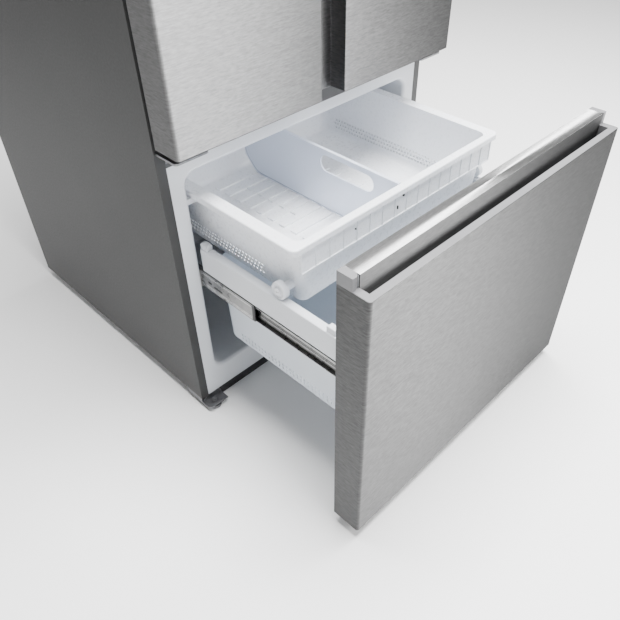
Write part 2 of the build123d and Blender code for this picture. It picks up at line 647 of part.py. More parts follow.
def fridge_fittings():
    """The cold-air duct on the back wall and the lamp in the ceiling."""
    y = (FRIDGE_DEPTH - DUCT_DEPTH, FRIDGE_DEPTH)
    duct = block((-DUCT_HALF, DUCT_HALF), y, DUCT_Z)
    front = duct.faces().sort_by(Axis.Y)[0]
    duct = fillet(front.edges(), DUCT_DEPTH / 3)
    inside = DUCT_HALF - DUCT_WALL
    duct -= block((-inside, inside), (y[0] + DUCT_WALL, y[1] + 1),
                  (DUCT_Z[0] + DUCT_WALL, DUCT_Z[1] - DUCT_WALL))
    length, height = DUCT_VENT
    pitch = (DUCT_Z[1] - DUCT_Z[0]) / (DUCT_VENTS + 1)
    for row in range(1, DUCT_VENTS + 1):
        z = DUCT_Z[0] + row * pitch
        duct -= block((-length / 2, length / 2), (y[0] - 1, y[0] + 2 * DUCT_WALL),
                      (z - height / 2, z + height / 2))
    lamp = block((-LAMP_HALF, LAMP_HALF), LAMP_Y, (FRIDGE_CEILING - LAMP_HEIGHT, FRIDGE_CEILING))
    lamp = fillet(lamp.edges().filter_by(Axis.Z), LAMP_HEIGHT)
    return {"air_duct": duct, "fridge_lamp": lamp}


# ---------------------------------------------------------------- doors
def door_outline(inset, back):
    """The plan of the left door: stepped back beside the handle recess."""
    side = -HALF + inset
    front = PANEL_FRONT + inset
    step = -POCKET_HALF - inset
    recess = PANEL_FRONT + POCKET_DEPTH + inset
    edge = -DOOR_GAP / 2 - inset
    return [(side, back), (side, front), (step, front), (step, recess), (edge, recess),
            (edge, back)]


def door_solid(inset, back, z):
    """The left door's plan raised between two heights, with its front corners rounded."""
    points = door_outline(inset, back)
    solid = prism(points, z)
    solid = round_uprights(solid, [points[1]], PANEL_CORNER - inset)
    return round_uprights(solid, [points[2]], POCKET_CORNER - inset)


def pivot_hole(low, high):
    return rod((-PIVOT_X, -PIVOT_OUT, low), (-PIVOT_X, -PIVOT_OUT, high), PIVOT_RADIUS + RUNNING)


def left_door():
    """Skin, end caps, foamed liner, gasket and bins of the left door."""
    skin = door_solid(0, PANEL_BACK, (DOOR_BOTTOM, DOOR_TOP))
    skin -= door_solid(STEEL, PANEL_BACK + 1, (DOOR_BOTTOM - 1, DOOR_TOP + 1))

    grip = PIVOT_GRIP + SEAT
    low_hole = pivot_hole(DOOR_BOTTOM - 1, DOOR_BOTTOM + grip)
    high_hole = pivot_hole(DOOR_TOP - grip, DOOR_TOP + 1)
    core_z = (DOOR_BOTTOM + DOOR_CAP, DOOR_TOP - DOOR_CAP)
    caps = door_solid(STEEL, PANEL_BACK, (DOOR_BOTTOM, core_z[0])) - low_hole
    caps += door_solid(STEEL, PANEL_BACK, (core_z[1], DOOR_TOP)) - high_hole

    dike_x = (-CAVITY_HALF + DIKE_GAP, -DIKE_CENTRE)
    dike = ring(dike_x, DIKE_Z, (PANEL_BACK, DIKE_DEPTH), DIKE_WIDTH, LINER_CORNER)
    inner = door_solid(STEEL, PANEL_BACK, core_z) - low_hole - high_hole + dike

    gasket_x = (-HALF + GASKET_INSET, -DOOR_GAP)
    gasket = ring(gasket_x, DOOR_GASKET_Z, (PANEL_BACK, -SEAT), GASKET_WIDTH, GASKET_ROUND)

    bins = None
    bin_x = (dike_x[0] + DIKE_WIDTH, dike_x[1] - DIKE_WIDTH)
    for floor, height in zip(BIN_FLOORS, BIN_HEIGHTS):
        shelf_bin = door_bin(bin_x, floor, height)
        bins = shelf_bin if bins is None else bins + shelf_bin
    return {"skin": skin, "caps": caps, "liner": inner, "gasket": gasket, "bins": bins}


def door_bin(x, floor, height):
    """One open bin that hangs between the sides of the dike."""
    y = (PANEL_BACK, BIN_FRONT)
    outer = block(x, y, (floor, floor + height))
    outer = round_uprights(outer, [(x[0], BIN_FRONT), (x[1], BIN_FRONT)], BIN_CORNER)
    inner_x = (x[0] + BIN_WALL, x[1] - BIN_WALL)
    inner_front = BIN_FRONT - BIN_WALL
    inner = block(inner_x, (y[0] + BIN_WALL, inner_front), (floor + BIN_WALL, floor + 2 * height))
    inner = round_uprights(inner, [(inner_x[0], inner_front), (inner_x[1], inner_front)],
                           BIN_CORNER - BIN_WALL)
    return outer - inner


def flipper():
    """The bar that closes the slot between the doors, folded back against the left door.

    Its arms end in pins that turn in two lugs on the left door's liner.
    """
    axis_x, axis_y = FLIPPER_AXIS
    width, height = FLIPPER_LUG
    low_lug = (DIKE_Z[0] + FLIPPER_END, DIKE_Z[0] + FLIPPER_END + height)
    high_lug = (DIKE_Z[1] - FLIPPER_END - height, DIKE_Z[1] - FLIPPER_END)
    low_arm = (low_lug[1] + SEAT, low_lug[1] + SEAT + FLIPPER_ARM)
    high_arm = (high_lug[0] - SEAT - FLIPPER_ARM, high_lug[0] - SEAT)

    lug_x = (axis_x - width / 2, axis_x + width / 2)
    lugs = None
    for lug_z in (low_lug, high_lug):
        lug = block(lug_x, (PANEL_BACK, axis_y + width / 4), lug_z)
        lug -= rod((axis_x, axis_y, lug_z[0] - 1), (axis_x, axis_y, lug_z[1] + 1),
                   FLIPPER_PIN + RUNNING)
        lugs = lug if lugs is None else lugs + lug

    back = FLIPPER_SETBACK + FLIPPER_WIDTH
    bar = block((FLIPPER_FACE - FLIPPER_THICK, FLIPPER_FACE), (FLIPPER_SETBACK, back),
                (low_arm[1], high_arm[0]))
    bar = fillet(bar.edges().filter_by(Axis.Z).group_by(Axis.Y)[-1], FLIPPER_THICK / 6)
    for arm_z in (low_arm, high_arm):
        bar += block((FLIPPER_FACE - FLIPPER_THICK, FLIPPER_FACE), (axis_y, back / 2), arm_z)
        bar += rod((axis_x, axis_y, arm_z[0]), (axis_x, axis_y, arm_z[1]), FLIPPER_EYE)
    bar += rod((axis_x, axis_y, low_lug[0]), (axis_x, axis_y, low_arm[1]), FLIPPER_PIN)
    bar += rod((axis_x, axis_y, high_arm[0]), (axis_x, axis_y, high_lug[1]), FLIPPER_PIN)
    return bar, lugs


def doors():
    """Both doors, with the folding bar and its lugs on the left one."""
    left = left_door()
    bar, lugs = flipper()
    nodes = {f"right_door_{part}": mirrored(shape) for part, shape in left.items()}
    left["liner"] += lugs
    nodes.update({f"left_door_{part}": shape for part, shape in left.items()})
    nodes["flipper_bar"] = bar
    return nodes


def hinges():
    """Steel plates with pivot pins, and the covers over the top ones."""
    x = (-HALF + HINGE_SIDE, -HINGE_INNER)
    front = -PIVOT_OUT - HINGE_REACH
    pin_at = (-PIVOT_X, -PIVOT_OUT)

    plate_z = (MIDDLE_HINGE_Z, MIDDLE_HINGE_Z + HINGE_PLATE)
    middle = block(x, (front, 0), plate_z)
    middle = round_uprights(middle, [(x[0], front), (x[1], front)], HINGE_REACH / 2)
    middle += block((-OPENING_HALF, x[1]), (-HINGE_TAB, 0), (MIDDLE_TAB_LOW, plate_z[1]))
    middle += rod((*pin_at, plate_z[1]), (*pin_at, DOOR_BOTTOM + PIVOT_GRIP), PIVOT_RADIUS)
    middle += rod((*pin_at, plate_z[1]), (*pin_at, DOOR_BOTTOM - SEAT), BUSH_RADIUS)

    top = block(x, (front, TOP_PLATE_BACK), (CABINET_TOP, CABINET_TOP + HINGE_PLATE))
    top = round_uprights(top, [(x[0], front), (x[1], front)], HINGE_REACH / 2)
    top += rod((*pin_at, DOOR_TOP - PIVOT_GRIP), (*pin_at, CABINET_TOP), PIVOT_RADIUS)
    top += rod((*pin_at, DOOR_TOP + SEAT), (*pin_at, CABINET_TOP), BUSH_RADIUS)

    wall = HINGE_COVER_WALL
    roof = CABINET_TOP + HINGE_COVER_HEIGHT
    cover = block((x[0] - wall, x[1] + wall), (front - wall, HINGE_COVER_BACK),
                  (CABINET_TOP, roof))
    cover = fillet(cover.edges().group_by(Axis.Z)[-1], wall)
    cover -= block(x, (front, HINGE_COVER_BACK - wall), (CABINET_TOP - 1, roof - wall))
    return {"middle_hinges": pair(middle), "top_hinges": pair(top), "hinge_covers": pair(cover)}


# ---------------------------------------------------------------- freezer drawer
def drawer_front():
    """Steel front, foamed inner panel, gasket, and the handle along the top."""
    x = (-HALF, HALF)
    skin = block(x, (PANEL_FRONT, PANEL_BACK), (DRAWER_BOTTOM, DRAWER_TOP))
    skin = round_uprights(skin, [(x[0], PANEL_FRONT), (x[1], PANEL_FRONT)], PANEL_CORNER)
    inner_x = (x[0] + STEEL, x[1] - STEEL)
    inner_front = PANEL_FRONT + STEEL
    corners = [(inner_x[0], inner_front), (inner_x[1], inner_front)]
    hollow = block(inner_x, (inner_front, 0), (DRAWER_BOTTOM + STEEL, 2 * DRAWER_TOP))
    skin -= round_uprights(hollow, corners, PANEL_CORNER - STEEL)

    trough_front = CHANNEL_FRONT - TROUGH_WALL
    lip_back = PANEL_BACK - LIP_SHEET
    lip_face = LIP_FRONT + LIP_SHEET
    strip = DRAWER_TOP - TROUGH_WALL
    under_lip = LIP_TOP - LIP_SHEET
    outline = [(inner_front, DRAWER_BOTTOM + STEEL), (PANEL_BACK, DRAWER_BOTTOM + STEEL),
               (PANEL_BACK, strip), (lip_back, strip), (lip_back, under_lip),
               (lip_face, under_lip), (lip_face, CHANNEL_FLOOR), (trough_front, CHANNEL_FLOOR),
               (trough_front, strip), (inner_front, strip)]
    panel = round_uprights(side_prism(outline, inner_x), corners, PANEL_CORNER - STEEL)
    pocket = block((CAP_INNER, WIDTH), (-WIDTH, 0), (CHANNEL_FLOOR, CABINET_TOP))
    panel = panel - pocket - mirrored(pocket)

    between = (-CAP_INNER, CAP_INNER)
    floor_top = CHANNEL_FLOOR + TROUGH_WALL
    trough = block(between, (trough_front, CHANNEL_FRONT), (CHANNEL_FLOOR, strip))
    trough += block(between, (trough_front, lip_face), (CHANNEL_FLOOR, floor_top))
    trough += block(between, (inner_front, CHANNEL_FRONT), (strip, DRAWER_TOP))

    lip = block(between, (LIP_FRONT, lip_face), (floor_top, LIP_TOP))
    lip += block(between, (LIP_FRONT, PANEL_BACK), (under_lip, LIP_TOP))
    lip += block(between, (lip_back, PANEL_BACK), (strip, LIP_TOP))

    cap = block((CAP_INNER, inner_x[1]), (inner_front, PANEL_BACK), (CHANNEL_FLOOR, DRAWER_TOP))
    cap = round_uprights(cap, [corners[1]], PANEL_CORNER - STEEL)
    head = block((CAP_INNER, HALF), (LIP_FRONT, PANEL_BACK), (DRAWER_TOP, LIP_TOP))
    inner_edge = head.edges().filter_by(Axis.Z).group_by(Axis.X)[0].sort_by(Axis.Y)[0]
    cap += chamfer(inner_edge, CAP_CHAMFER)

    gasket_x = (-HALF + GASKET_INSET, HALF - GASKET_INSET)
    gasket = ring(gasket_x, DRAWER_GASKET_Z, (PANEL_BACK, -SEAT), GASKET_WIDTH, GASKET_ROUND)
    return {"drawer_skin": skin, "drawer_panel": panel, "handle_trough": trough,
            "handle_lip": lip, "handle_end_caps": pair(cap), "drawer_gasket": gasket}


def channel(web, tip, z, span):
    """A steel C section lying along the drawer: its web, then two flanges out to tip."""
    sheet = SLIDE_SHEET if tip > web else -SLIDE_SHEET
    section = block((web, web + sheet), span, z)
    for low in (z[0], z[1] - SLIDE_SHEET):
        section += block((web, tip), span, (low, low + SLIDE_SHEET))
    return section


def slides():
    """Three-part slides: wall section, middle section and drawer section, nested in turn."""
    play = SLIDE_PLAY
    step = SLIDE_SHEET + play
    outer_z = (SLIDE_BOTTOM, SLIDE_TOP)
    middle_z = (outer_z[0] + step, outer_z[1] - step)
    inner_z = (middle_z[0] + step, middle_z[1] - step)
    arm_face = -ARM_OUTER
    wall = -CAVITY_HALF
    spans = [(start, HUMP_FRONT + end) for start, end in zip(SLIDE_STARTS, SLIDE_ENDS)]
    outer = channel(wall, wall + SLIDE_DEPTH, outer_z, spans[0])
    middle_web = wall + step
    inner_web = arm_face
    middle = channel(middle_web, inner_web - step, middle_z, spans[1])
    inner = channel(inner_web, middle_web + step, inner_z, spans[2])
    return outer, middle, inner


def lower_bin():
    """The deep bin, hung by its rim on the side rails."""
    z = (LOWER_BIN_BOTTOM, BIN_RIM_TOP)
    draft = (LOWER_BIN_DRAFT, LOWER_BIN_DRAFT)
    tub_of = (LOWER_BIN_HALF, LOWER_BIN_Y, z, draft, LOWER_BIN_CORNER, LOWER_BIN_EDGE)
    body = hollow_tub(*tub_of, TUB_WALL)
    rim = block((-BIN_RIM_HALF, BIN_RIM_HALF), LOWER_BIN_Y, (z[1] - BIN_RIM, z[1]))
    rim = fillet(rim.edges().filter_by(Axis.Z), LOWER_BIN_CORNER)
    length, height = BIN_SLOT
    slots = []
    for row in BIN_SLOT_ROWS:
        for place in range(BIN_SLOT_COUNT):
            y = BIN_SLOT_START + place * BIN_SLOT_PITCH
            slots.append(block((-WIDTH, WIDTH), (y, y + length),
                               (row - height / 2, row + height / 2)))
    return body + (rim - tub(*tub_of)) - slots


def drawer_carriage():
    """Steel arms, the rails over them with their stops, and the bin between."""
    outer_slide, middle_slide, inner_slide = slides()
    arm_x = (-ARM_OUTER, -ARM_OUTER + ARM_SHEET)
    under = RAIL_TOP - RAIL_WALL
    arm = block(arm_x, (PANEL_BACK, HUMP_FRONT - ARM_SHORT), (ARM_BOTTOM, under))
    arm += block((arm_x[1], arm_x[1] + ARM_FOOT), (PANEL_BACK, PANEL_BACK + ARM_SHEET),
                 (ARM_BOTTOM, under - RAIL_WALL))

    y = (RAIL_FRONT, RAIL_BACK)
    skirt = SLIDE_TOP + 2 * SLIDE_PLAY
    rail = block((-RAIL_OUTER, -RAIL_INNER), y, (skirt, RAIL_TOP))
    rail = fillet(rail.edges().filter_by(Axis.Y).group_by(Axis.Z)[-1], RAIL_WALL)
    rail -= block((-RAIL_OUTER + RAIL_WALL, -RAIL_INNER - RAIL_WALL),
                  (y[0] - 1, y[1] - RAIL_WALL), (skirt - 1, under))
    reach, thick = RAIL_LEDGE
    ledge_top = BIN_RIM_TOP - BIN_RIM
    rail += block((-RAIL_INNER, -RAIL_INNER + reach), y, (ledge_top - thick, ledge_top))
    for start in (STOP_FRONT, RAIL_BACK - STOP_LENGTH):
        stop = block((-RAIL_OUTER + RAIL_WALL, -RAIL_INNER - RAIL_WALL),
                     (start, start + STOP_LENGTH), (under, RAIL_TOP + STOP_HEIGHT))
        rail += fillet(stop.edges().group_by(Axis.Z)[-1], RAIL_WALL)

    out = Pos(0, -DRAWER_OPEN, 0)
    half_out = Pos(0, -DRAWER_OPEN / 2, 0)
    nodes = {name: out * shape for name, shape in drawer_front().items()}
    nodes["drawer_arms"] = out * pair(arm + inner_slide)
    nodes["side_rails"] = out * pair(rail)
    nodes["lower_bin"] = out * lower_bin()
    nodes["left_slide_middle"] = half_out * middle_slide
    nodes["right_slide_middle"] = half_out * mirrored(middle_slide)
    nodes["slide_wall_members"] = pair(outer_slide)
    return nodes


# ---------------------------------------------------------------- upper basket
def basket_tub():
    """What the basket's tub is cut from: half width, ends, heights, lean and roundings."""
    y = (BASKET_FRONT + RIM_WIDTH, BASKET_BACK - RIM_WIDTH)
    draft = (BASKET_DRAFT, BASKET_END_DRAFT)
    return WALL_HALF, y, (BASKET_BOTTOM, BASKET_TOP), draft, BASKET_CORNER, BASKET_EDGE


def wall_at(z):
    """Half the basket's outer width at a height."""
    share = (BASKET_TOP - z) / (BASKET_TOP - BASKET_BOTTOM)
    return WALL_HALF - BASKET_DRAFT * share


def basket():
    """White basket with a rolled rim, a ribbed skirt, vents, floor ribs and two axles."""
    solid = tub(*basket_tub())
    body = hollow_tub(*basket_tub(), TUB_WALL)
    rim = block((-BASKET_HALF, BASKET_HALF), (BASKET_FRONT, BASKET_BACK), (RIM_BOTTOM, BASKET_TOP))
    rim = fillet(rim.edges().filter_by(Axis.Z), RIM_CORNER)
    rim = fillet(rim.edges().group_by(Axis.Z)[-1], RIM_HEIGHT / 4)
    extras = rim
    skirt_y = (BASKET_FRONT + SKIRT_SETBACK, BASKET_FRONT + 2 * RIM_WIDTH)
    skirt_low = RIM_BOTTOM - SKIRT_HEIGHT
    panel_y = (skirt_y[0] + SKIRT_RECESS, skirt_y[0] + SKIRT_RECESS + TUB_WALL)
    extras += block((-SKIRT_HALF, SKIRT_HALF), panel_y, (skirt_low, RIM_BOTTOM))
    extras += block((-SKIRT_HALF, SKIRT_HALF), (skirt_y[0], panel_y[1]),
                    (skirt_low - SKIRT_BEAD, skirt_low))
    pitch = 2 * (SKIRT_HALF - SKIRT_RIB / 2) / SKIRT_CELLS
    for cell in range(SKIRT_CELLS + 1):
        x = -SKIRT_HALF + SKIRT_RIB / 2 + cell * pitch
        extras += block((x - SKIRT_RIB / 2, x + SKIRT_RIB / 2), skirt_y, (skirt_low, RIM_BOTTOM))
    y, z = WHEEL_AT
    wall_x = wall_at(z)
    axle = rod((wall_x - TUB_WALL / 2, y, z), (WHEEL_INNER + WHEEL_WIDTH + SEAT, y, z), WHEEL_AXLE)
    axle += rod((wall_x - TUB_WALL / 2, y, z), (WHEEL_INNER - SEAT, y, z), WHEEL_BOSS)
    clip_radius, clip = WHEEL_CLIP
    clip_x = WHEEL_INNER + WHEEL_WIDTH + SEAT
    axle += rod((clip_x, y, z), (clip_x + clip, y, z), clip_radius)
    body += (extras + pair(axle)) - solid

    for rib in range(FLOOR_RIB_COUNT):
        y = BASKET_BACK - FLOOR_RIB_BACK - rib * FLOOR_RIB_PITCH
        body += block((-FLOOR_RIB_HALF, FLOOR_RIB_HALF),
                      (y - FLOOR_RIB_WIDTH / 2, y + FLOOR_RIB_WIDTH / 2),
                      (BASKET_FLOOR - 1, BASKET_FLOOR + FLOOR_RIB_HEIGHT))
    body += block((FLOOR_RIDGE_X - FLOOR_RIDGE / 2, FLOOR_RIDGE_X + FLOOR_RIDGE / 2),
                  FLOOR_RIDGE_Y, (BASKET_FLOOR - 1, BASKET_FLOOR + FLOOR_RIB_HEIGHT))
    return body - basket_vents()


def basket_vents():
    """Rows of small slots through both side walls."""
    length, height = VENT_SIZE
    slots = []
    for row, z in enumerate(VENT_ROWS):
        for place in range(VENT_COUNT):
            y = VENT_START + (place + row % 2 / 2) * VENT_PITCH
            slots.append(block((-BASKET_HALF, BASKET_HALF), (y, y + length),
                               (z - height / 2, z + height / 2)))
    return slots


def divider():
    """A clear upright plate with a hand hole, on the basket's ribs, under a white top bar."""
    low = BASKET_FLOOR + FLOOR_RIB_HEIGHT + SEAT
    bar_width, bar_height = DIVIDER_BAR
    bar_low = DIVIDER_TOP - bar_height
    y = DIVIDER_Y
    outline = [(y[0], low), (y[1] - DIVIDER_CUT, low), (y[1], low + DIVIDER_CUT),
               (y[1], bar_low), (y[0], bar_low)]
    plate = side_prism(outline, (DIVIDER_X - DIVIDER_PLATE / 2, DIVIDER_X + DIVIDER_PLATE / 2))
    lower_corners = plate.edges().filter_by(Axis.X).sort_by(Axis.Z)[:3]
    plate = fillet(lower_corners, DIVIDER_ROUND)
    length, height = DIVIDER_HOLE
    hole_y, hole_z = DIVIDER_HOLE_AT
    hole = extrude(Plane.YZ.offset(-WIDTH) * Pos(hole_y, hole_z) * SlotOverall(length, height),
                   amount=2 * WIDTH)
    bar = block((DIVIDER_X - bar_width / 2, DIVIDER_X + bar_width / 2), DIVIDER_BAR_Y,
                (bar_low, DIVIDER_TOP))
    return (plate - hole) + bar


def upper_basket():
    """The basket, its divider and its two wheels, part of the way out."""
    y, z = WHEEL_AT
    wheel_x = (WHEEL_INNER, WHEEL_INNER + WHEEL_WIDTH)
    wheel = rod((wheel_x[0], y, z), (wheel_x[1], y, z), WHEEL_RADIUS)
    wheel = fillet(wheel.edges(), RAIL_WALL / 2)
    wheel -= rod((wheel_x[0] - 1, y, z), (wheel_x[1] + 1, y, z), WHEEL_AXLE + RUNNING)
    out = Pos(0, -BASKET_OPEN, 0)
    return {"upper_basket": out * basket(), "basket_divider": out * divider(),
            "left_basket_wheel": out * mirrored(wheel), "right_basket_wheel": out * wheel}


# ---------------------------------------------------------------- cooling system
def fan(radius, hub):
    """A bladed wheel about the Z axis, with its hub standing on z = 0."""
    middle = FAN_WIDTH / 2
    chord, thick = BLADE
    wheel = Pos(0, 0, middle) * Cylinder(hub, FAN_WIDTH)
    root = hub - thick
    for turn in range(FAN_BLADES):
        blade = Rot(BLADE_TILT, 0, 0) * Box(radius - root, chord, thick)
        wheel += Rot(0, 0, turn * 360 / FAN_BLADES) * Pos((radius + root) / 2, 0, middle) * blade
    return wheel - Cylinder(FAN_SHAFT + RUNNING, 4 * FAN_WIDTH)


def coil(x, y, z, fins, plate_z):
    """A finned block of tubes along the width, with a plate at each end."""
    body = block((x[0], x[0] + COIL_BRACKET), y, plate_z)
    body += block((x[1] - COIL_BRACKET, x[1]), y, plate_z)
    for row in range(COIL_ROWS):
        tube_z = z[0] + (z[1] - z[0]) * (row + 0.5) / COIL_ROWS
        for tube_y in (y[0] + COIL_INSET, y[1] - COIL_INSET):
            body += rod((x[0], tube_y, tube_z), (x[1], tube_y, tube_z), COIL_TUBE)
    pitch = (x[1] - x[0]) / (fins + 1)
    for count in range(1, fins + 1):
        at = x[0] + count * pitch
        body += block((at - COIL_FIN / 2, at + COIL_FIN / 2), y, z)
    return body


def freezer_cooling():
    """Evaporator, the panel in front of it with its fan motor, and the fan."""
    y = (COVER_FRONT, COVER_FRONT + COVER_SHEET)
    cover = block((-CAVITY_HALF, CAVITY_HALF), y, (HUMP_TOP, FREEZER_CEILING)) & freezer_space(0)
    length, height = COVER_VENT
    pitch = 2 * CAVITY_HALF / (COVER_VENTS + 1)
    low = HUMP_TOP + height / 2
    vents = [block((x - length / 2, x + length / 2), (y[0] - 1, y[1] + 1), (low, low + height))
             for x in (-CAVITY_HALF + (count + 1) * pitch for count in range(COVER_VENTS))]
    cover -= vents
    centre = (0, FREEZER_FAN_Z)
    cover -= rod((0, y[0] - 1, centre[1]), (0, y[1] + 1, centre[1]), FREEZER_FAN_RADIUS)
    for half_x, half_z in ((FREEZER_FAN_RADIUS, FAN_STRUT / 2), (FAN_STRUT / 2, FREEZER_FAN_RADIUS)):
        cover += block((-half_x, half_x), y, (centre[1] - half_z, centre[1] + half_z))
    motor_radius, motor_length = FREEZER_MOTOR
    fan_back = y[1] + COVER_SHEET + FAN_WIDTH
    ring_y = (fan_back + COVER_SHEET, fan_back + 2 * COVER_SHEET)
    for side in (-1, 1):
        x = side * FAN_RING
        cover += rod((x, y[0], centre[1]), (x, ring_y[1], centre[1]), FAN_STRUT)
    cover += block((-FAN_RING, FAN_RING), ring_y, (centre[1] - FAN_STRUT, centre[1] + FAN_STRUT))
    cover += rod((0, ring_y[0], centre[1]), (0, ring_y[0] + motor_length, centre[1]), motor_radius)
    cover += rod((0, y[1] + SEAT, centre[1]), (0, ring_y[1], centre[1]), FAN_SHAFT)

    wheel = fan(FREEZER_FAN_RADIUS - FAN_STRUT, FREEZER_HUB)
    seat = Plane(origin=(0, y[1] + COVER_SHEET, centre[1]), x_dir=(1, 0, 0), z_dir=(0, 1, 0))
    fins = coil((-COIL_HALF, COIL_HALF), COIL_Y, COIL_Z, COIL_FINS, (HUMP_TOP, COIL_Z[1]))
    return {"evaporator_cover": cover, "evaporator_fan": seat * wheel, "evaporator": fins}


def machine_parts():
    """Compressor, condenser over its drain tray, fan and shroud, rear cover and inlet."""
    x, y = COMPRESSOR_AT
    grommet, grommet_height = GROMMET
    plate_low = PAN_TOP + grommet_height
    plate_top = plate_low + COMPRESSOR_SHEET
    shell = rod((x, y, COMPRESSOR_Z[0]), (x, y, COMPRESSOR_Z[1]), COMPRESSOR_RADIUS)
    shell = fillet(shell.edges().filter_by(GeomType.CIRCLE), COMPRESSOR_DOME)
    half = COMPRESSOR_PLATE / 2
    compressor = shell + block((x - half, x + half), (y - half, y + half), (plate_low, plate_top))
    compressor += rod((x, y, plate_low), (x, y, COMPRESSOR_Z[0] + 1), COMPRESSOR_FOOT)
    corner = half - GROMMET_IN
    for side_x in (-corner, corner):
        for side_y in (-corner, corner):
            place = (x + side_x, y + side_y)
            compressor += rod((*place, PAN_TOP), (*place, plate_low), grommet)
    pipe_x = x + COMPRESSOR_RADIUS / 2
    compressor += rod((pipe_x, y, COMPRESSOR_Z[0] + COMPRESSOR_DOME),
                      (pipe_x, y, COMPRESSOR_Z[1] + COMPRESSOR_DOME), PIPE_RADIUS)

    condenser = coil(CONDENSER_X, CONDENSER_Y, CONDENSER_Z, CONDENSER_FINS,
                     (PAN_TOP, CONDENSER_Z[1] + PIPE_RADIUS))
    tray_x = (CONDENSER_X[0] + COIL_BRACKET + TRAY_GAP, CONDENSER_X[1] - COIL_BRACKET - TRAY_GAP)
    tray_z = (PAN_TOP, PAN_TOP + TRAY_HEIGHT)
    tray = block(tray_x, CONDENSER_Y, tray_z)
    tray -= block((tray_x[0] + TROUGH_WALL, tray_x[1] - TROUGH_WALL),
                  (CONDENSER_Y[0] + TROUGH_WALL, CONDENSER_Y[1] - TROUGH_WALL),
                  (tray_z[0] + TROUGH_WALL, 2 * tray_z[1]))

    fan_y, fan_z = MACHINE_FAN
    motor_radius, motor_length = MACHINE_MOTOR
    shroud = block(SHROUD_X, SHROUD_Y, (PAN_TOP, SHROUD_TOP))
    shroud -= rod((SHROUD_X[0] - 1, fan_y, fan_z), (SHROUD_X[1] + 1, fan_y, fan_z), SHROUD_HOLE)
    bar_x = (SHROUD_X[1], SHROUD_X[1] + SHROUD_BAR)
    bar = SHROUD_BAR / 2
    shroud += block(bar_x, SHROUD_Y, (fan_z - bar, fan_z + bar))
    shroud += block(bar_x, (fan_y - bar, fan_y + bar), (PAN_TOP, SHROUD_TOP))
    shroud += rod((bar_x[1], fan_y, fan_z), (bar_x[1] + motor_length, fan_y, fan_z), motor_radius)
    fan_x = SHROUD_X[0] - COVER_SHEET - FAN_WIDTH
    shroud += rod((fan_x - SEAT, fan_y, fan_z), (bar_x[1], fan_y, fan_z), FAN_SHAFT)
    wheel = fan(MACHINE_FAN_RADIUS, MACHINE_HUB)
    seat = Plane(origin=(fan_x, fan_y, fan_z), x_dir=(0, 1, 0), z_dir=(1, 0, 0))
    return {"compressor": compressor, "condenser": condenser, "drain_tray": tray,
            "fan_shroud": shroud, "condenser_fan": seat * wheel, **rear_cover()}


def rear_cover():
    """The slotted sheet over the machine room, with the power inlet let into it."""
    cover = block((-SKIN_HALF, SKIN_HALF), (BACK_SHEET, CABINET_DEPTH), (PAN_TOP, MACHINE_TOP))
    length, height = VENT_SLOT
    slots = []
    for column in range(SLOT_COLUMNS):
        for row in range(SLOT_ROWS):
            x = (column - (SLOT_COLUMNS - 1) / 2) * SLOT_PITCH[0]
            z = PAN_TOP + (row + 1) * SLOT_PITCH[1]
            slots.append(block((x - length / 2, x + length / 2), (0, 2 * CABINET_DEPTH),
                               (z - height / 2, z + height / 2)))
    cover -= slots
    x, z = INLET_AT
    width, height = INLET_SIZE
    inlet_x = (x - width / 2, x + width / 2)
    inlet_z = (z - height / 2, z + height / 2)
    inlet_y = (CABINET_DEPTH - INLET_DEPTH, CABINET_DEPTH)
    inlet = block(inlet_x, inlet_y, inlet_z)
    cover -= inlet
    socket_x = (inlet_x[0] + INLET_WALL, inlet_x[1] - INLET_WALL)
    socket_z = (inlet_z[0] + INLET_WALL, inlet_z[1] - INLET_WALL)
    inlet -= block(socket_x, (inlet_y[0] + 2 * INLET_WALL, CABINET_DEPTH + 1), socket_z)
    pin_width, pin_height = INLET_PIN
    for at in (x - INLET_PITCH, x, x + INLET_PITCH):
        inlet += block((at - pin_width / 2, at + pin_width / 2),
                       (inlet_y[0], CABINET_DEPTH - 2 * INLET_WALL),
                       (z - pin_height / 2, z + pin_height / 2))
    return {"machine_cover": cover, "power_inlet": inlet}


def write_parts():
    """Move everything to the origin under the middle of the whole object, and write it."""
    os.makedirs("parts", exist_ok=True)
    to_origin = Pos(0, -ORIGIN_Y, 0)
    makers = (case, liners, feet, shelves, crispers, fridge_fittings, doors, hinges,
              drawer_carriage, upper_basket, freezer_cooling, machine_parts)
    for make in makers:
        for name, shape in make().items():
            export_step(to_origin * shape, f"parts/{name}.step")


write_parts()
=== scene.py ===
# %% [markdown]
# # A refrigerator with its freezer drawer drawn out
# The shapes of this refrigerator were made as solids in another program, and come in as fixed
# objects. Blender's work is the looks: finishes with grain and uneven gloss, and the small pieces
# that solids leave plain, such as gaskets, threads, screws, fan blades and pipes.

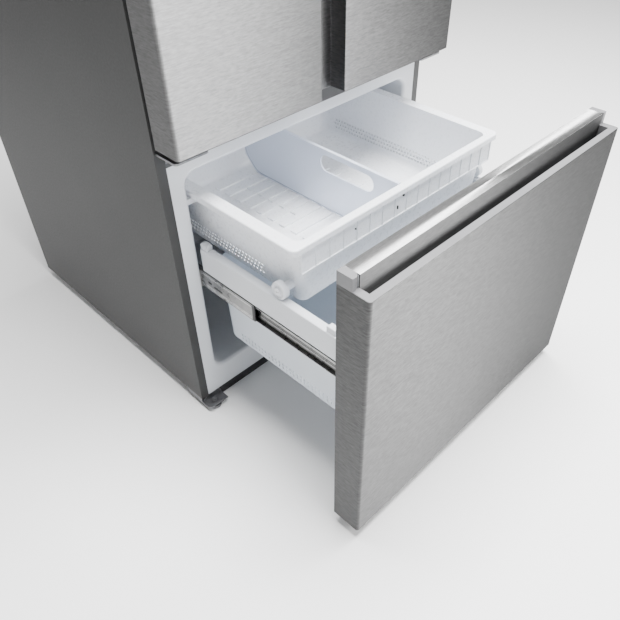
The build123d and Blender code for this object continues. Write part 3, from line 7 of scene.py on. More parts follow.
# %% Load the solids
import math
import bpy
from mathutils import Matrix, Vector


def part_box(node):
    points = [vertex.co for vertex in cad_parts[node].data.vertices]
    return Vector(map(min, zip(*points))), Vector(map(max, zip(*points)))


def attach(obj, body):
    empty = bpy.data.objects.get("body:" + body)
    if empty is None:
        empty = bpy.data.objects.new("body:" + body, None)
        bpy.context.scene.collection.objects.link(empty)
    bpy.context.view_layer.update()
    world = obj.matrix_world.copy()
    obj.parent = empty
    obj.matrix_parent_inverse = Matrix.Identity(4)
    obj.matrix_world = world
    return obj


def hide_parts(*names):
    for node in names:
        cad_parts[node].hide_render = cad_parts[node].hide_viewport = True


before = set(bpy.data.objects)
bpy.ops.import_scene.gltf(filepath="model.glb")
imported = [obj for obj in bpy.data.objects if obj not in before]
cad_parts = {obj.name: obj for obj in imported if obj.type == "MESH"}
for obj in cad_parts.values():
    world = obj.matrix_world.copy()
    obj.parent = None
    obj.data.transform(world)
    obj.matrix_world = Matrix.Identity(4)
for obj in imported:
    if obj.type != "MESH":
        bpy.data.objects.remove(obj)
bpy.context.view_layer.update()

from types import SimpleNamespace

import bmesh
import bpy
import numpy as np
from mathutils import Vector

# %% [markdown]
# ## Measures
# The refrigerator was drawn in millimetres, with y = 0 at the front edge of the case. The frame
# here is in metres, with its origin under the middle of the whole object, so every point goes
# through one small function. Pieces that slide are described where they are when shut, and stand
# out by their travel.

# %% From drawing millimetres to metres
TO_METRES = 0.001
TO_MILLIMETRES = 1000.0
FRONT_SHIFT = 124.5             # y of the frame's origin in the drawing
DRAWER_OUT = 431.0
BASKET_OUT = 325.0
SLIDE_OUT = DRAWER_OUT / 2      # a middle section goes half as far as its drawer


def metres(points, out=0.0):
    """Drawing millimetres to metres: (x, y - out - shift, z) / 1000, for an array of points."""
    points = np.asarray(points, dtype=float)
    return (points - np.array([0.0, FRONT_SHIFT + out, 0.0])) * TO_METRES


def node_box(node, out=0.0):
    """A solid's lowest and highest corners in drawing millimetres, as it stands when shut."""
    shift = (0.0, FRONT_SHIFT + out, 0.0)
    return [np.array(corner) * TO_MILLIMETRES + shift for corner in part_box(node)]


print("case:", [corner.round(1).tolist() for corner in node_box("case_wrapper")])

# %% [markdown]
# ## Camera
# The photograph looks down on the drawer from the front left. Its edges were used to find where
# the camera stood, which way it looked and how long its lens was. The picture is a little off
# the lens's middle, as after a crop, which the small shift gives back.

# %% The photograph's camera
CAMERA_AT = Vector((-0.9015, -1.0577, 1.2122))
TURNED = math.radians(45.96)
TIPPED = math.radians(42.23)

eye = bpy.data.cameras.new("photo_camera")
eye.sensor_width = 36.0
eye.lens = 37.31
eye.shift_x = -0.0306
eye.shift_y = 0.0190
eye.clip_end = 60.0
photo_camera = bpy.data.objects.new("photo_camera", eye)
look = Vector((math.sin(TURNED) * math.cos(TIPPED), math.cos(TURNED) * math.cos(TIPPED),
               -math.sin(TIPPED)))
photo_camera.location = CAMERA_AT
photo_camera.rotation_euler = look.to_track_quat("-Z", "Y").to_euler()
bpy.context.collection.objects.link(photo_camera)
bpy.context.scene.camera = photo_camera
print("camera looks along", [round(v, 3) for v in look])

# %% [markdown]
# ## Meshes from numbers
# Every new piece is a surface worked out with numpy, because a formula gives the same clean
# faces each time and can be changed by one number. A grid of points, one row for each step of
# one parameter and one column for each step of the other, is joined into four-sided faces. The
# columns always come round to their own start, and where the rows do so too, the last is joined
# to the first. A row whose points are all one point closes a pole.

# %% From grids of points to pieces
SAME_POINT = 1e-6               # metres within which points are merged
SHARP = 40.0                    # degrees from which an edge is drawn sharp


def grid_faces(rows, columns, round_rows):
    """Quads over a rows x columns grid: (i, j), (i+1, j), (i+1, j+1), (i, j+1)."""
    i = np.arange(rows if round_rows else rows - 1)
    i, j = np.meshgrid(i, np.arange(columns), indexing="ij")
    below = (i + 1) % rows
    right = (j + 1) % columns
    corners = (i * columns + j, below * columns + j, below * columns + right, i * columns + right)
    return np.stack(corners, axis=-1).reshape(-1, 4)


class Shape:
    """Grids of points in drawing millimetres, gathered into one mesh."""

    def __init__(self):
        self.points = []
        self.faces = []
        self.count = 0

    def grid(self, grid, round_rows=False):
        """Adds a closed surface as a grid of points (rows, columns, 3), faces outward.

        The sum of a . (b x c) over the triangles is six times the volume; below nought, they
        face in.
        """
        grid = np.asarray(grid, dtype=float)
        rows, columns = grid.shape[:2]
        points = grid.reshape(-1, 3)
        faces = grid_faces(rows, columns, round_rows)
        a, b, c, d = (points[faces[:, corner]] - points.mean(axis=0) for corner in range(4))
        volume = (a * (np.cross(b, c) + np.cross(c, d))).sum()
        self.faces += ((faces if volume > 0 else faces[:, ::-1]) + self.count).tolist()
        self.points.append(points)
        self.count += rows * columns
        return self

    def mirrored(self):
        """The same shape on the other side: x becomes -x, and the faces turn round."""
        other = Shape()
        other.points = [points * np.array([-1.0, 1.0, 1.0]) for points in self.points]
        other.faces = [face[::-1] for face in self.faces]
        other.count = self.count
        return other

    def add(self, other):
        """Adds another shape's grids to this one."""
        self.faces += [[corner + self.count for corner in face] for face in other.faces]
        self.points += other.points
        self.count += other.count
        return self

    def hang(self, name, body, finish, out=0.0, replaces=(), smooth=SHARP):
        """Makes the mesh, gives it its finish and lets it ride on a body."""
        mesh = bpy.data.meshes.new(name)
        mesh.from_pydata(metres(np.concatenate(self.points), out).tolist(), [], self.faces)
        shell = bmesh.new()
        shell.from_mesh(mesh)
        bmesh.ops.remove_doubles(shell, verts=shell.verts, dist=SAME_POINT)
        shell.to_mesh(mesh)
        shell.free()
        piece = bpy.data.objects.new(name, mesh)
        bpy.context.collection.objects.link(piece)
        piece.data.materials.append(finish)
        mesh.shade_smooth()
        mesh.set_sharp_from_angle(angle=math.radians(smooth))
        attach(piece, body)
        if replaces:
            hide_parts(*replaces)
        print(name, len(mesh.vertices), "points")
        return piece


# %% Lathe and tube
NEARLY_UP = 0.9                 # z of a unit vector from which it counts as upright


def aside(way):
    """A unit vector well away from a given one: z, or x where that one is nearly upright."""
    return np.array([0.0, 0.0, 1.0] if abs(way[2]) < NEARLY_UP else [1.0, 0.0, 0.0])


def lathe(profile, centre, axis, steps=48):
    """A profile of (along, radius) pairs turned about an axis: centre + a*axis + r*(cos, sin)."""
    profile = np.asarray(profile, dtype=float)
    axis = np.asarray(axis, dtype=float) / np.linalg.norm(axis)
    side = np.cross(axis, aside(axis))
    side /= np.linalg.norm(side)
    other = np.cross(axis, side)
    turn = np.linspace(0.0, 2 * np.pi, steps, endpoint=False)
    ring = np.cos(turn)[:, None] * side + np.sin(turn)[:, None] * other
    along = profile[:, 0, None, None] * axis
    return np.asarray(centre) + along + profile[:, 1, None, None] * ring[None]


def tube(path, radius, steps=12):
    """A round tube along a path: path + r * (cos * normal + sin * binormal), ends closed."""
    path = np.asarray(path, dtype=float)
    ahead = np.gradient(path, axis=0)
    ahead /= np.linalg.norm(ahead, axis=1)[:, None]
    normal = np.zeros_like(path)
    seed = aside(ahead[0])
    for place, forward in enumerate(ahead):
        seed = seed - forward * seed.dot(forward)
        seed /= np.linalg.norm(seed)
        normal[place] = seed
    across = np.cross(ahead, normal)
    turn = np.linspace(0.0, 2 * np.pi, steps, endpoint=False)
    rings = path[:, None] + radius * (np.cos(turn)[None, :, None] * normal[:, None]
                                      + np.sin(turn)[None, :, None] * across[:, None])
    first = np.repeat(path[:1, None], steps, axis=1)
    last = np.repeat(path[-1:, None], steps, axis=1)
    return np.concatenate([first, rings, last])


# %% Rounded lines


def rounded_path(points, radius, steps=6):
    """A line whose corners are curves: (1 - s)^2 start + 2 s (1 - s) corner + s^2 end."""
    points = np.asarray(points, dtype=float)
    line = [points[0]]
    share = np.linspace(0.0, 1.0, steps)[:, None]
    for before, corner, after in zip(points[:-2], points[1:-1], points[2:]):
        back = (before - corner) / np.linalg.norm(before - corner)
        on = (after - corner) / np.linalg.norm(after - corner)
        start = corner + back * radius
        end = corner + on * radius
        line.extend((1 - share) ** 2 * start + 2 * share * (1 - share) * corner + share ** 2 * end)
    line.append(points[-1])
    return np.array(line)


def rounded_rectangle(low, high, radius, steps=8):
    """Outline (n, 2) of a rectangle with round corners, counter-clockwise, and its normals."""
    turn = np.linspace(0.0, np.pi / 2, steps)
    outline = []
    normals = []
    corners = ((high[0], low[1], -np.pi / 2), (high[0], high[1], 0.0),
               (low[0], high[1], np.pi / 2), (low[0], low[1], np.pi))
    for x, z, start in corners:
        sign = np.array([1.0 if x == high[0] else -1.0, 1.0 if z == high[1] else -1.0])
        normal = np.stack([np.cos(start + turn), np.sin(start + turn)], axis=1)
        outline.append(np.array([x, z]) - sign * radius + radius * normal)
        normals.append(normal)
    return np.concatenate(outline), np.concatenate(normals)


# %% [markdown]
# ## Finishes
# A finish is a Principled shader whose colour, roughness and bump come from noise patterns. An
# image could give them too, but it would have to be unwrapped onto every piece, and it blurs
# from close by. The patterns read Object coordinates, which are metres here, so a scale of 400
# gives detail of a few millimetres. Small helpers keep each finish down to a few lines.

# %% Helpers for finishes
EDGE_SAMPLES = 4
NOISE_ROUGHNESS = 0.55


def start_finish(name, color, rough, metal=0.0, edge=0.0, **sockets):
    """A new material with a Principled shader; further sockets are given by their names.

    Where edge is given, the shading turns softly round every edge within that many metres.
    """
    material = bpy.data.materials.new(name)
    material.use_nodes = True
    nodes = material.node_tree.nodes
    shader = nodes["Principled BSDF"]
    shader.inputs["Base Color"].default_value = (*color, 1.0)
    shader.inputs["Roughness"].default_value = rough
    shader.inputs["Metallic"].default_value = metal
    for socket, value in sockets.items():
        shader.inputs[socket.replace("_", " ")].default_value = value
    place = nodes.new("ShaderNodeTexCoord").outputs["Object"]
    rounded = None
    if edge:
        bevel = nodes.new("ShaderNodeBevel")
        bevel.samples = EDGE_SAMPLES
        bevel.inputs["Radius"].default_value = edge
        rounded = bevel.outputs["Normal"]
    return SimpleNamespace(material=material, nodes=nodes, links=material.node_tree.links,
                           shader=shader, place=place, rounded=rounded)


def noise(finish, scale, detail=3.0):
    """Noise stretched by a scale for each axis, as a value round one half."""
    mapping = finish.nodes.new("ShaderNodeMapping")
    mapping.inputs["Scale"].default_value = scale
    finish.links.new(finish.place, mapping.inputs["Vector"])
    pattern = finish.nodes.new("ShaderNodeTexNoise")
    pattern.inputs["Scale"].default_value = 1.0
    pattern.inputs["Detail"].default_value = detail
    pattern.inputs["Roughness"].default_value = NOISE_ROUGHNESS
    finish.links.new(mapping.outputs["Vector"], pattern.inputs["Vector"])
    return pattern.outputs["Fac"]


def spangle(finish, scale):
    """Cells of random brightness, like the crystals of zinc on a dipped sheet."""
    pattern = finish.nodes.new("ShaderNodeTexVoronoi")
    pattern.inputs["Scale"].default_value = scale
    finish.links.new(finish.place, pattern.inputs["Vector"])
    return pattern.outputs["Color"]


def calculate(finish, operation, *values):
    """One Math node."""
    node = finish.nodes.new("ShaderNodeMath")
    node.operation = operation
    for socket, value in zip(node.inputs, values):
        if isinstance(value, (int, float)):
            socket.default_value = value
        else:
            finish.links.new(value, socket)
    return node.outputs[0]


# %% What a pattern does to a finish
WINDOW = (0.3, 0.7)             # the values of a pattern between which the finish changes


def tint(finish, value, low, high, window=WINDOW):
    """Base colour that goes from one colour to another as a value crosses a window."""
    ramp = finish.nodes.new("ShaderNodeValToRGB")
    ramp.color_ramp.elements[0].position = window[0]
    ramp.color_ramp.elements[1].position = window[1]
    ramp.color_ramp.elements[0].color = (*low, 1.0)
    ramp.color_ramp.elements[1].color = (*high, 1.0)
    finish.links.new(value, ramp.inputs["Fac"])
    finish.links.new(ramp.outputs["Color"], finish.shader.inputs["Base Color"])


def roughen(finish, value, low, high, window=WINDOW):
    """Roughness between two values as a pattern crosses a window."""
    spread = finish.nodes.new("ShaderNodeMapRange")
    spread.inputs["From Min"].default_value = window[0]
    spread.inputs["From Max"].default_value = window[1]
    spread.inputs["To Min"].default_value = low
    spread.inputs["To Max"].default_value = high
    finish.links.new(value, spread.inputs["Value"])
    finish.links.new(spread.outputs["Result"], finish.shader.inputs["Roughness"])


def emboss(finish, value, depth, strength=1.0):
    """Bump whose full height is depth metres, on top of the rounded edges where there are any."""
    bump = finish.nodes.new("ShaderNodeBump")
    bump.inputs["Distance"].default_value = depth
    bump.inputs["Strength"].default_value = strength
    finish.links.new(value, bump.inputs["Height"])
    if finish.rounded:
        finish.links.new(finish.rounded, bump.inputs["Normal"])
    finish.links.new(bump.outputs["Normal"], finish.shader.inputs["Normal"])


# %% [markdown]
# ### Brushed steel
# The doors and the drawer front are stainless sheet, rubbed in one direction, so the scratches
# run level across the front and round the sides. Noise that is stretched about twenty times
# along the grain gives them. On level faces, such as the top of the handle, the grain runs along
# the width, so there a second pattern takes over, chosen by how far the face looks up. Scratches
# too fine to draw spread the gloss up and down, which the shader's anisotropy gives. The sheets
# also mirror a bright and a dark side of the room, and a slow fade of the tone along x is that
# reflection painted into the colour. Faces that don't look up can be scaled darker as well, a
# painted shade, and each part gets its own copy of the steel, in a tone that paints the light it
# catches.

# %% Brushed steel
STEEL_EDGE = 0.0012
LOOKS_UP = 0.7                  # z of a normal from which a face counts as level
LONG_SCRATCH = (0.03, 0.0016)   # length and width in metres
SHORT_SCRATCH = (0.012, 0.0028)
HALF_WIDTH = 0.3775             # of the refrigerator's front, in metres


def grain(steel, level, length, width):
    """Streaks along x: noise scaled by 1 / length, and by 1 / width across the streak."""
    pick = steel.nodes.new("ShaderNodeMix")
    steel.links.new(level, pick.inputs["Factor"])
    steel.links.new(noise(steel, (1 / length, 1 / length, 1 / width)), pick.inputs["A"])
    steel.links.new(noise(steel, (1 / length, 1 / width, 1 / length)), pick.inputs["B"])
    return pick.outputs["Result"]


def brushed(name, dark, light, fade, upright=1.0):
    """Brushed sheet whose tone is scaled along x, a painted reflection, and on faces that
    don't look up by upright, a painted shade.

    The fade is a pair of places along x and the pair of scales that the tone has there.
    """
    steel = start_finish(name, (light,) * 3, 0.5, 1.0, STEEL_EDGE, Anisotropic=0.92,
                         Anisotropic_Rotation=0.25)
    way = steel.nodes.new("ShaderNodeSeparateXYZ")
    facing = steel.nodes.new("ShaderNodeNewGeometry").outputs["Normal"]
    steel.links.new(facing, way.inputs["Vector"])
    upward = calculate(steel, "ABSOLUTE", way.outputs["Z"])
    level = calculate(steel, "GREATER_THAN", upward, LOOKS_UP)

    fine = grain(steel, level, *LONG_SCRATCH)
    both = calculate(steel, "MULTIPLY_ADD", grain(steel, level, *SHORT_SCRATCH), 0.5,
                     calculate(steel, "MULTIPLY", fine, 0.5))
    tint(steel, both, (dark,) * 3, (light,) * 3, (0.34, 0.66))

    # Painted reflection: the tone fades along x from one scale to the other.
    place = steel.nodes.new("ShaderNodeSeparateXYZ")
    steel.links.new(steel.place, place.inputs["Vector"])
    tone = steel.nodes.new("ShaderNodeMapRange")
    for socket, value in zip(("From Min", "From Max", "To Min", "To Max"), fade):
        tone.inputs[socket].default_value = value
    steel.links.new(place.outputs["X"], tone.inputs["Value"])
    # Painted shade: faces that don't look up get their tone scaled by upright.
    share = calculate(steel, "MULTIPLY_ADD", level, 1.0 - upright, upright)
    shade = steel.nodes.new("ShaderNodeVectorMath")
    shade.operation = "SCALE"
    steel.links.new(steel.shader.inputs["Base Color"].links[0].from_socket,
                    shade.inputs["Vector"])
    steel.links.new(calculate(steel, "MULTIPLY", tone.outputs["Result"], share),
                    shade.inputs["Scale"])
    steel.links.new(shade.outputs["Vector"], steel.shader.inputs["Base Color"])
    roughen(steel, fine, 0.46, 0.58)
    emboss(steel, fine, 0.00004, 0.5)
    return steel.material


# One stainless sheet in four copies whose tones paint the light each part catches: painted dark on
# the drawer, painted light on the lip, whose upright faces get a painted shade, and a painted
# reflection fading along x on each.
drawer_steel_painted_dark = brushed("stainless_front", 0.055, 0.11, (-HALF_WIDTH, HALF_WIDTH, 1.45, 0.35))
left_door_steel_painted_sheen = brushed("stainless_left_door_painted_sheen", 0.14, 0.24, (-HALF_WIDTH, 0.0, 1.15, 0.5))
right_door_steel_painted_sheen = brushed("stainless_right_door_painted_sheen", 0.14, 0.24, (0.0, HALF_WIDTH, 1.15, 0.5))
lip_steel_painted_light = brushed("stainless_lip_painted_light", 0.38, 0.56, (-HALF_WIDTH, HALF_WIDTH, 1.05, 1.05), 0.2)
print("brushed:", [drawer_steel_painted_dark.name, left_door_steel_painted_sheen.name, right_door_steel_painted_sheen.name, lip_steel_painted_light.name])

# %% [markdown]
# ### Paint, plastics and metals
# The case is sheet with a satin dark paint, which has a faint orange-peel. The bins and liners
# are glossy white plastic that is never quite even, and the crispers and door bins are the same
# plastic made clear. The liners and the lower bin are darker, bluer copies of the white plastic,
# a painted shade for the deep compartments. Plated parts are dull and cloudy. One function for
# paint and plastic and one for metal are enough, because pieces of one kind differ only in tone,
# gloss and grain.

# %% Paint and plastics
PLASTIC_EDGE = 0.0008
DRIFT = (7.0, 7.0, 7.0)         # scale of the slow change of colour
SKIN_FINER = 4                  # how much finer the bump is than the change of gloss


def plastic(name, light, dark, rough, peel=0.000008, scale=140.0, **sockets):
    """Moulded plastic or paint: a slow drift of colour, a fine skin, slightly uneven gloss."""
    finish = start_finish(name, light, rough, 0.0, PLASTIC_EDGE, **sockets)
    tint(finish, noise(finish, DRIFT), dark, light)
    roughen(finish, noise(finish, (scale,) * 3, 2.0), rough * 0.94, rough * 1.08)
    emboss(finish, noise(finish, (scale * SKIN_FINER,) * 3, 2.0), peel)
    return finish.material


case_paint = plastic("case_paint", (0.038, 0.038, 0.038), (0.035, 0.035, 0.035), 0.5,
                     peel=0.00004, scale=220.0, Specular_IOR_Level=0.3)
rail_paint = plastic("front_rail_paint", (0.042, 0.042, 0.043), (0.036, 0.036, 0.037), 0.45)
# Painted shade: the liners and the lower bin are darker copies of the white plastic.
liner_white_painted_shade = plastic("liner_plastic", (0.64, 0.66, 0.69), (0.62, 0.64, 0.67), 0.30)
panel_white = plastic("door_foam", (0.80, 0.82, 0.84), (0.78, 0.80, 0.82), 0.34)
lower_bin_painted_shade = plastic("lower_bin_plastic_painted_shade", (0.60, 0.645, 0.70), (0.58, 0.625, 0.68), 0.30)
bin_white = plastic("bin_plastic", (0.84, 0.86, 0.89), (0.82, 0.84, 0.88), 0.28,
                    Subsurface_Weight=0.12, Subsurface_Radius=(0.02, 0.022, 0.025),
                    Subsurface_Scale=0.3)
part_white = plastic("white_plastic", (0.74, 0.76, 0.79), (0.72, 0.74, 0.78), 0.32)
grey_plastic = plastic("grey_plastic", (0.16, 0.16, 0.165), (0.13, 0.13, 0.135), 0.42)
black_plastic = plastic("black_plastic", (0.014, 0.014, 0.015), (0.010, 0.010, 0.011), 0.5)
toe_black = plastic("toe_plastic", (0.012, 0.012, 0.013), (0.008, 0.008, 0.009), 0.55)
roller_nylon = plastic("roller_plastic", (0.03, 0.03, 0.032), (0.02, 0.02, 0.022), 0.45)
gasket_grey = plastic("gasket_rubber", (0.36, 0.37, 0.38), (0.30, 0.31, 0.32), 0.62,
                      peel=0.00005)
lamp_milk = plastic("lamp_lens", (0.90, 0.90, 0.88), (0.86, 0.86, 0.84), 0.22,
                    Transmission_Weight=0.3)
foam_cream = plastic("cabinet_foam", (0.72, 0.62, 0.36), (0.64, 0.53, 0.28), 0.9, peel=0.0006)
enamel = plastic("compressor_paint", (0.012, 0.012, 0.013), (0.008, 0.008, 0.009), 0.25,
                 Coat_Weight=0.4)
crisper_clear = plastic("crisper_plastic", (0.80, 0.87, 0.90), (0.74, 0.82, 0.86), 0.12,
                        Transmission_Weight=0.75, IOR=1.3)
divider_blue = plastic("divider_plastic", (0.82, 0.865, 0.96), (0.80, 0.85, 0.95), 0.3,
                       Transmission_Weight=0.45, IOR=1.12)
# Painted shade: a darker copy of the divider's plastic, for the bead along its edge.
divider_bead_painted_shade = plastic("divider_bead_painted_shade", (0.40, 0.44, 0.52), (0.36, 0.40, 0.48), 0.3)

# %% Metals
METAL_EDGE = 0.0004
METAL_SCALE = 60.0
METAL_FINER = 12
METAL_BUMP = 0.00002


def metal(name, light, dark, rough):
    """Plated or bare metal: clouds of tone and of gloss."""
    finish = start_finish(name, light, rough, 1.0, METAL_EDGE)
    clouds = noise(finish, (METAL_SCALE,) * 3, 4.0)
    tint(finish, clouds, dark, light)
    roughen(finish, clouds, rough * 0.75, rough * 1.3)
    emboss(finish, noise(finish, (METAL_SCALE * METAL_FINER,) * 3, 2.0), METAL_BUMP)
    return finish.material


zinc = metal("slide_steel", (0.30, 0.30, 0.295), (0.22, 0.22, 0.22), 0.3)
plated = metal("hinge_steel", (0.22, 0.22, 0.225), (0.15, 0.15, 0.155), 0.38)
aluminium = metal("coil_aluminium", (0.75, 0.76, 0.77), (0.6, 0.61, 0.62), 0.32)
rib_steel_painted_highlight = metal("rib_steel_painted_highlight", (0.66, 0.66, 0.65), (0.5, 0.5, 0.5), 0.25)
coil_black = metal("condenser_paint", (0.03, 0.03, 0.03), (0.015, 0.015, 0.015), 0.5)
dark_track_metal = metal("dark_track_metal", (0.09, 0.09, 0.088), (0.05, 0.05, 0.05), 0.35)
copper = metal("copper_pipe", (0.72, 0.36, 0.22), (0.50, 0.22, 0.13), 0.3)

# %% [markdown]
# ### Dipped sheet and glass
# The back and the base are sheet dipped in zinc, which cools into crystals about a centimetre
# wide, each with its own gloss. Voronoi cells have that look where noise would only be cloudy.
# The shelves are clear glass, and what shows of it is its edge, its green and a few smears.

# %% Dipped sheet and glass
CRYSTALS = 90.0                 # cells to a metre
WHOLE = (0.0, 1.0)              # a window as wide as the pattern's values

dipped = start_finish("galvanised_sheet", (0.55, 0.56, 0.57), 0.42, 1.0)
crystals = spangle(dipped, CRYSTALS)
tint(dipped, crystals, (0.42, 0.43, 0.44), (0.62, 0.63, 0.64), WHOLE)
roughen(dipped, crystals, 0.34, 0.52, WHOLE)
emboss(dipped, noise(dipped, (25.0, 25.0, 25.0)), 0.0002)
galvanised = dipped.material

pane = start_finish("shelf_glass", (0.86, 0.95, 0.93), 0.02, 0.0, Transmission_Weight=0.95,
                    IOR=1.45)
roughen(pane, noise(pane, (9.0, 9.0, 9.0), 4.0), 0.01, 0.06)
clear_glass = pane.material
print("finishes:", len(bpy.data.materials))

# %% [markdown]
# ## Finishes on the solids
# Each solid gets its finish here, from a list by its name. The edges of the solids are sharp, and
# a real edge always catches a line of light, so most finishes turn the shading softly round an
# edge with a Bevel node. A Bevel modifier would do it too, but it would change the mesh, and the
# solids are not to be touched.

# %% Give every solid its finish
FINISH_OF = {
    "case_wrapper": case_paint, "back_panel": galvanised, "base_pan": galvanised,
    "foam_body": foam_cream, "fridge_liner": liner_white_painted_shade, "freezer_liner": liner_white_painted_shade,
    "mullion_rail": rail_paint, "toe_strip": toe_black, "leg_brackets": plated,
    "top_hinges": plated, "middle_hinges": plated, "hinge_covers": grey_plastic,
    "air_duct": part_white, "fridge_lamp": lamp_milk, "shelf_frames": part_white,
    "glass_panes": clear_glass, "crisper_frame": part_white, "evaporator_cover": part_white,
    "evaporator": aluminium, "slide_wall_members": zinc, "compressor": enamel,
    "condenser": coil_black, "fan_shroud": black_plastic, "drain_tray": black_plastic,
    "machine_cover": galvanised, "power_inlet": black_plastic, "evaporator_fan": part_white,
    "condenser_fan": black_plastic, "left_rear_roller": roller_nylon,
    "right_rear_roller": roller_nylon, "left_leg": plated, "right_leg": plated,
    "flipper_bar": grey_plastic, "drawer_skin": drawer_steel_painted_dark, "drawer_panel": panel_white,
    "drawer_gasket": gasket_grey, "handle_lip": lip_steel_painted_light, "handle_trough": grey_plastic,
    "handle_end_caps": grey_plastic, "drawer_arms": zinc, "side_rails": liner_white_painted_shade,
    "lower_bin": lower_bin_painted_shade, "left_slide_middle": zinc, "right_slide_middle": zinc,
    "upper_basket": bin_white, "basket_divider": divider_blue,
    "left_basket_wheel": part_white, "right_basket_wheel": part_white,
    "left_crisper": crisper_clear, "right_crisper": crisper_clear,
    "left_door_skin": left_door_steel_painted_sheen, "right_door_skin": right_door_steel_painted_sheen,
    "left_door_caps": grey_plastic, "right_door_caps": grey_plastic,
    "left_door_liner": panel_white, "right_door_liner": panel_white,
    "left_door_gasket": gasket_grey, "right_door_gasket": gasket_grey,
    "left_door_bins": crisper_clear, "right_door_bins": crisper_clear,
}
for node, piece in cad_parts.items():
    piece.data.materials.clear()
    piece.data.materials.append(FINISH_OF[node])
print("without a finish:", sorted(set(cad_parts) - set(FINISH_OF)))

# %% [markdown]
# ## Gaskets
# A magnetic gasket is a hollow strip with a fold that lets it follow the case, and a flat bead
# with the magnet in it. Four lengths are welded together at mitred corners. A curve with a bevel
# object would twist or pinch its section at the corners, so here the section is only set back
# from each side of a rectangle: at a depth d inside the outer edge, the corner lies at
# (x - d, z - d).

# %% Gaskets of the doors and the drawer
# the section's outline: how far in from the rectangle, and y
BELLOWS = ((2.0, -10.0), (0.6, -9.2), (0.1, -7.8), (0.7, -6.4), (2.6, -5.6), (2.6, -4.8),
           (0.8, -4.2), (0.1, -3.0), (0.1, -1.4), (0.8, -0.5), (2.0, -0.3), (15.6, -0.3),
           (16.8, -0.7), (17.2, -1.8), (16.6, -3.2), (14.2, -4.2), (14.2, -5.2), (18.2, -6.2),
           (19.9, -7.6), (19.6, -9.2), (18.2, -10.0))


def gasket(low, high):
    """The section carried round a rectangle: corner = side - sign * inward, for all four."""
    inward, depth = np.array(BELLOWS).T
    corners = []
    for sign_x, sign_z in ((-1, -1), (1, -1), (1, 1), (-1, 1)):
        x = (high if sign_x > 0 else low)[0] - sign_x * inward
        z = (high if sign_z > 0 else low)[2] - sign_z * inward
        corners.append(np.stack([x, depth, z], axis=1))
    return Shape().grid(np.stack(corners, axis=1), round_rows=True)


for node, body, out in (("drawer_gasket", "freezer_drawer", DRAWER_OUT),
                        ("left_door_gasket", "left_door", 0.0),
                        ("right_door_gasket", "right_door", 0.0)):
    strip = gasket(*node_box(node, out))
    strip.hang(node + "_strip", body, gasket_grey, out, [node], smooth=30.0)

# %% [markdown]
# ## Wheels of the basket
# The basket's two front wheels are moulded with a recessed face, so that a rim, a web and a hub
# show. A wheel is round, so a profile turned about its axis is enough, and a profile that comes
# back to its own start gives the whole wheel with its bore, without a boolean.

# %% Basket wheels
WHEEL_STEPS = 64
WHEEL_PROFILE = ((0.0, 4.05), (0.0, 15.0), (0.4, 16.8), (1.3, 17.8), (2.4, 18.0), (12.6, 18.0),
                 (13.7, 17.8), (14.6, 16.8), (15.0, 15.4), (14.9, 14.4), (13.4, 13.9),
                 (13.0, 13.2), (13.0, 9.4), (13.4, 8.6), (14.9, 8.2), (15.0, 7.6), (15.0, 4.05))

for side, outward in (("left", -1.0), ("right", 1.0)):
    node = side + "_basket_wheel"
    low, high = node_box(node, BASKET_OUT)
    centre = (low + high) / 2
    centre[0] = low[0] if outward > 0 else high[0]
    turned = lathe(WHEEL_PROFILE, centre, (outward, 0.0, 0.0), WHEEL_STEPS)
    Shape().grid(turned, round_rows=True).hang(node + "_rim", node, part_white, BASKET_OUT, [node])

# %% [markdown]
# ## Levelling legs
# A leg is a round pad on a threaded stem, with a nut below the bracket and one above. The thread
# could be a Screw modifier on a profile, but a formula needs no second object: the radius falls
# and rises once in each pitch, and its phase turns with the angle. A hexagon's radius is
# a / cos(t) within 30 degrees of each flat's middle, and where a nut is chamfered a cone cuts
# its corners off.

# %% Legs with threads and nuts
PAD_PROFILE = ((0.0, 0.0), (0.0, 13.6), (0.5, 14.6), (1.4, 15.0), (4.2, 15.0), (6.2, 14.0),
               (7.4, 11.8), (8.0, 8.6), (8.0, 0.0))
STEM_RADIUS = 4.0
STEM_Z = (7.5, 26.0)
STEM_ROWS = 120
STEM_COLUMNS = 32
THREAD_PITCH = 1.25
THREAD_DEPTH = 0.6
NUT_FLAT = 6.06                 # from the middle of a nut to its flats
NUT_CHAMFER = 0.55
NUT_STEPS = 72
NUT_Z = ((9.2, 13.7), (16.8, 21.3))


def threaded_stem(x, y):
    """r = R - depth * |2 * frac(z / pitch - turn) - 1|, closed at both ends."""
    rows = np.linspace(*STEM_Z, STEM_ROWS)[:, None]
    turn = np.linspace(0.0, 1.0, STEM_COLUMNS, endpoint=False)[None, :]
    saw = np.abs(2 * np.mod(rows / THREAD_PITCH - turn, 1.0) - 1)
    radius = STEM_RADIUS - THREAD_DEPTH * saw
    radius[[0, -1]] = 0.0
    rows[0], rows[-1] = rows[1], rows[-2]
    angle = 2 * np.pi * turn
    return np.stack([x + radius * np.cos(angle), y + radius * np.sin(angle),
                     rows + 0 * radius], axis=-1)


def hex_nut(x, y, z):
    """A hexagon of radius min(a / cos(t), cone), with the cone narrow at both faces."""
    foot, top = z
    angle = np.linspace(0.0, 2 * np.pi, NUT_STEPS, endpoint=False)
    t = np.mod(angle + np.pi / 6, np.pi / 3) - np.pi / 6
    hexagon = NUT_FLAT / np.cos(t)
    uncut = 2 * NUT_FLAT        # a cone so wide that it cuts nothing off
    rows = []
    for height, cone in ((foot, 0.0), (foot, NUT_FLAT), (foot + NUT_CHAMFER, uncut),
                         (top - NUT_CHAMFER, uncut), (top, NUT_FLAT), (top, 0.0)):
        radius = np.minimum(hexagon, cone)
        rows.append(np.stack([x + radius * np.cos(angle), y + radius * np.sin(angle),
                              np.full_like(angle, height)], axis=-1))
    return np.array(rows)


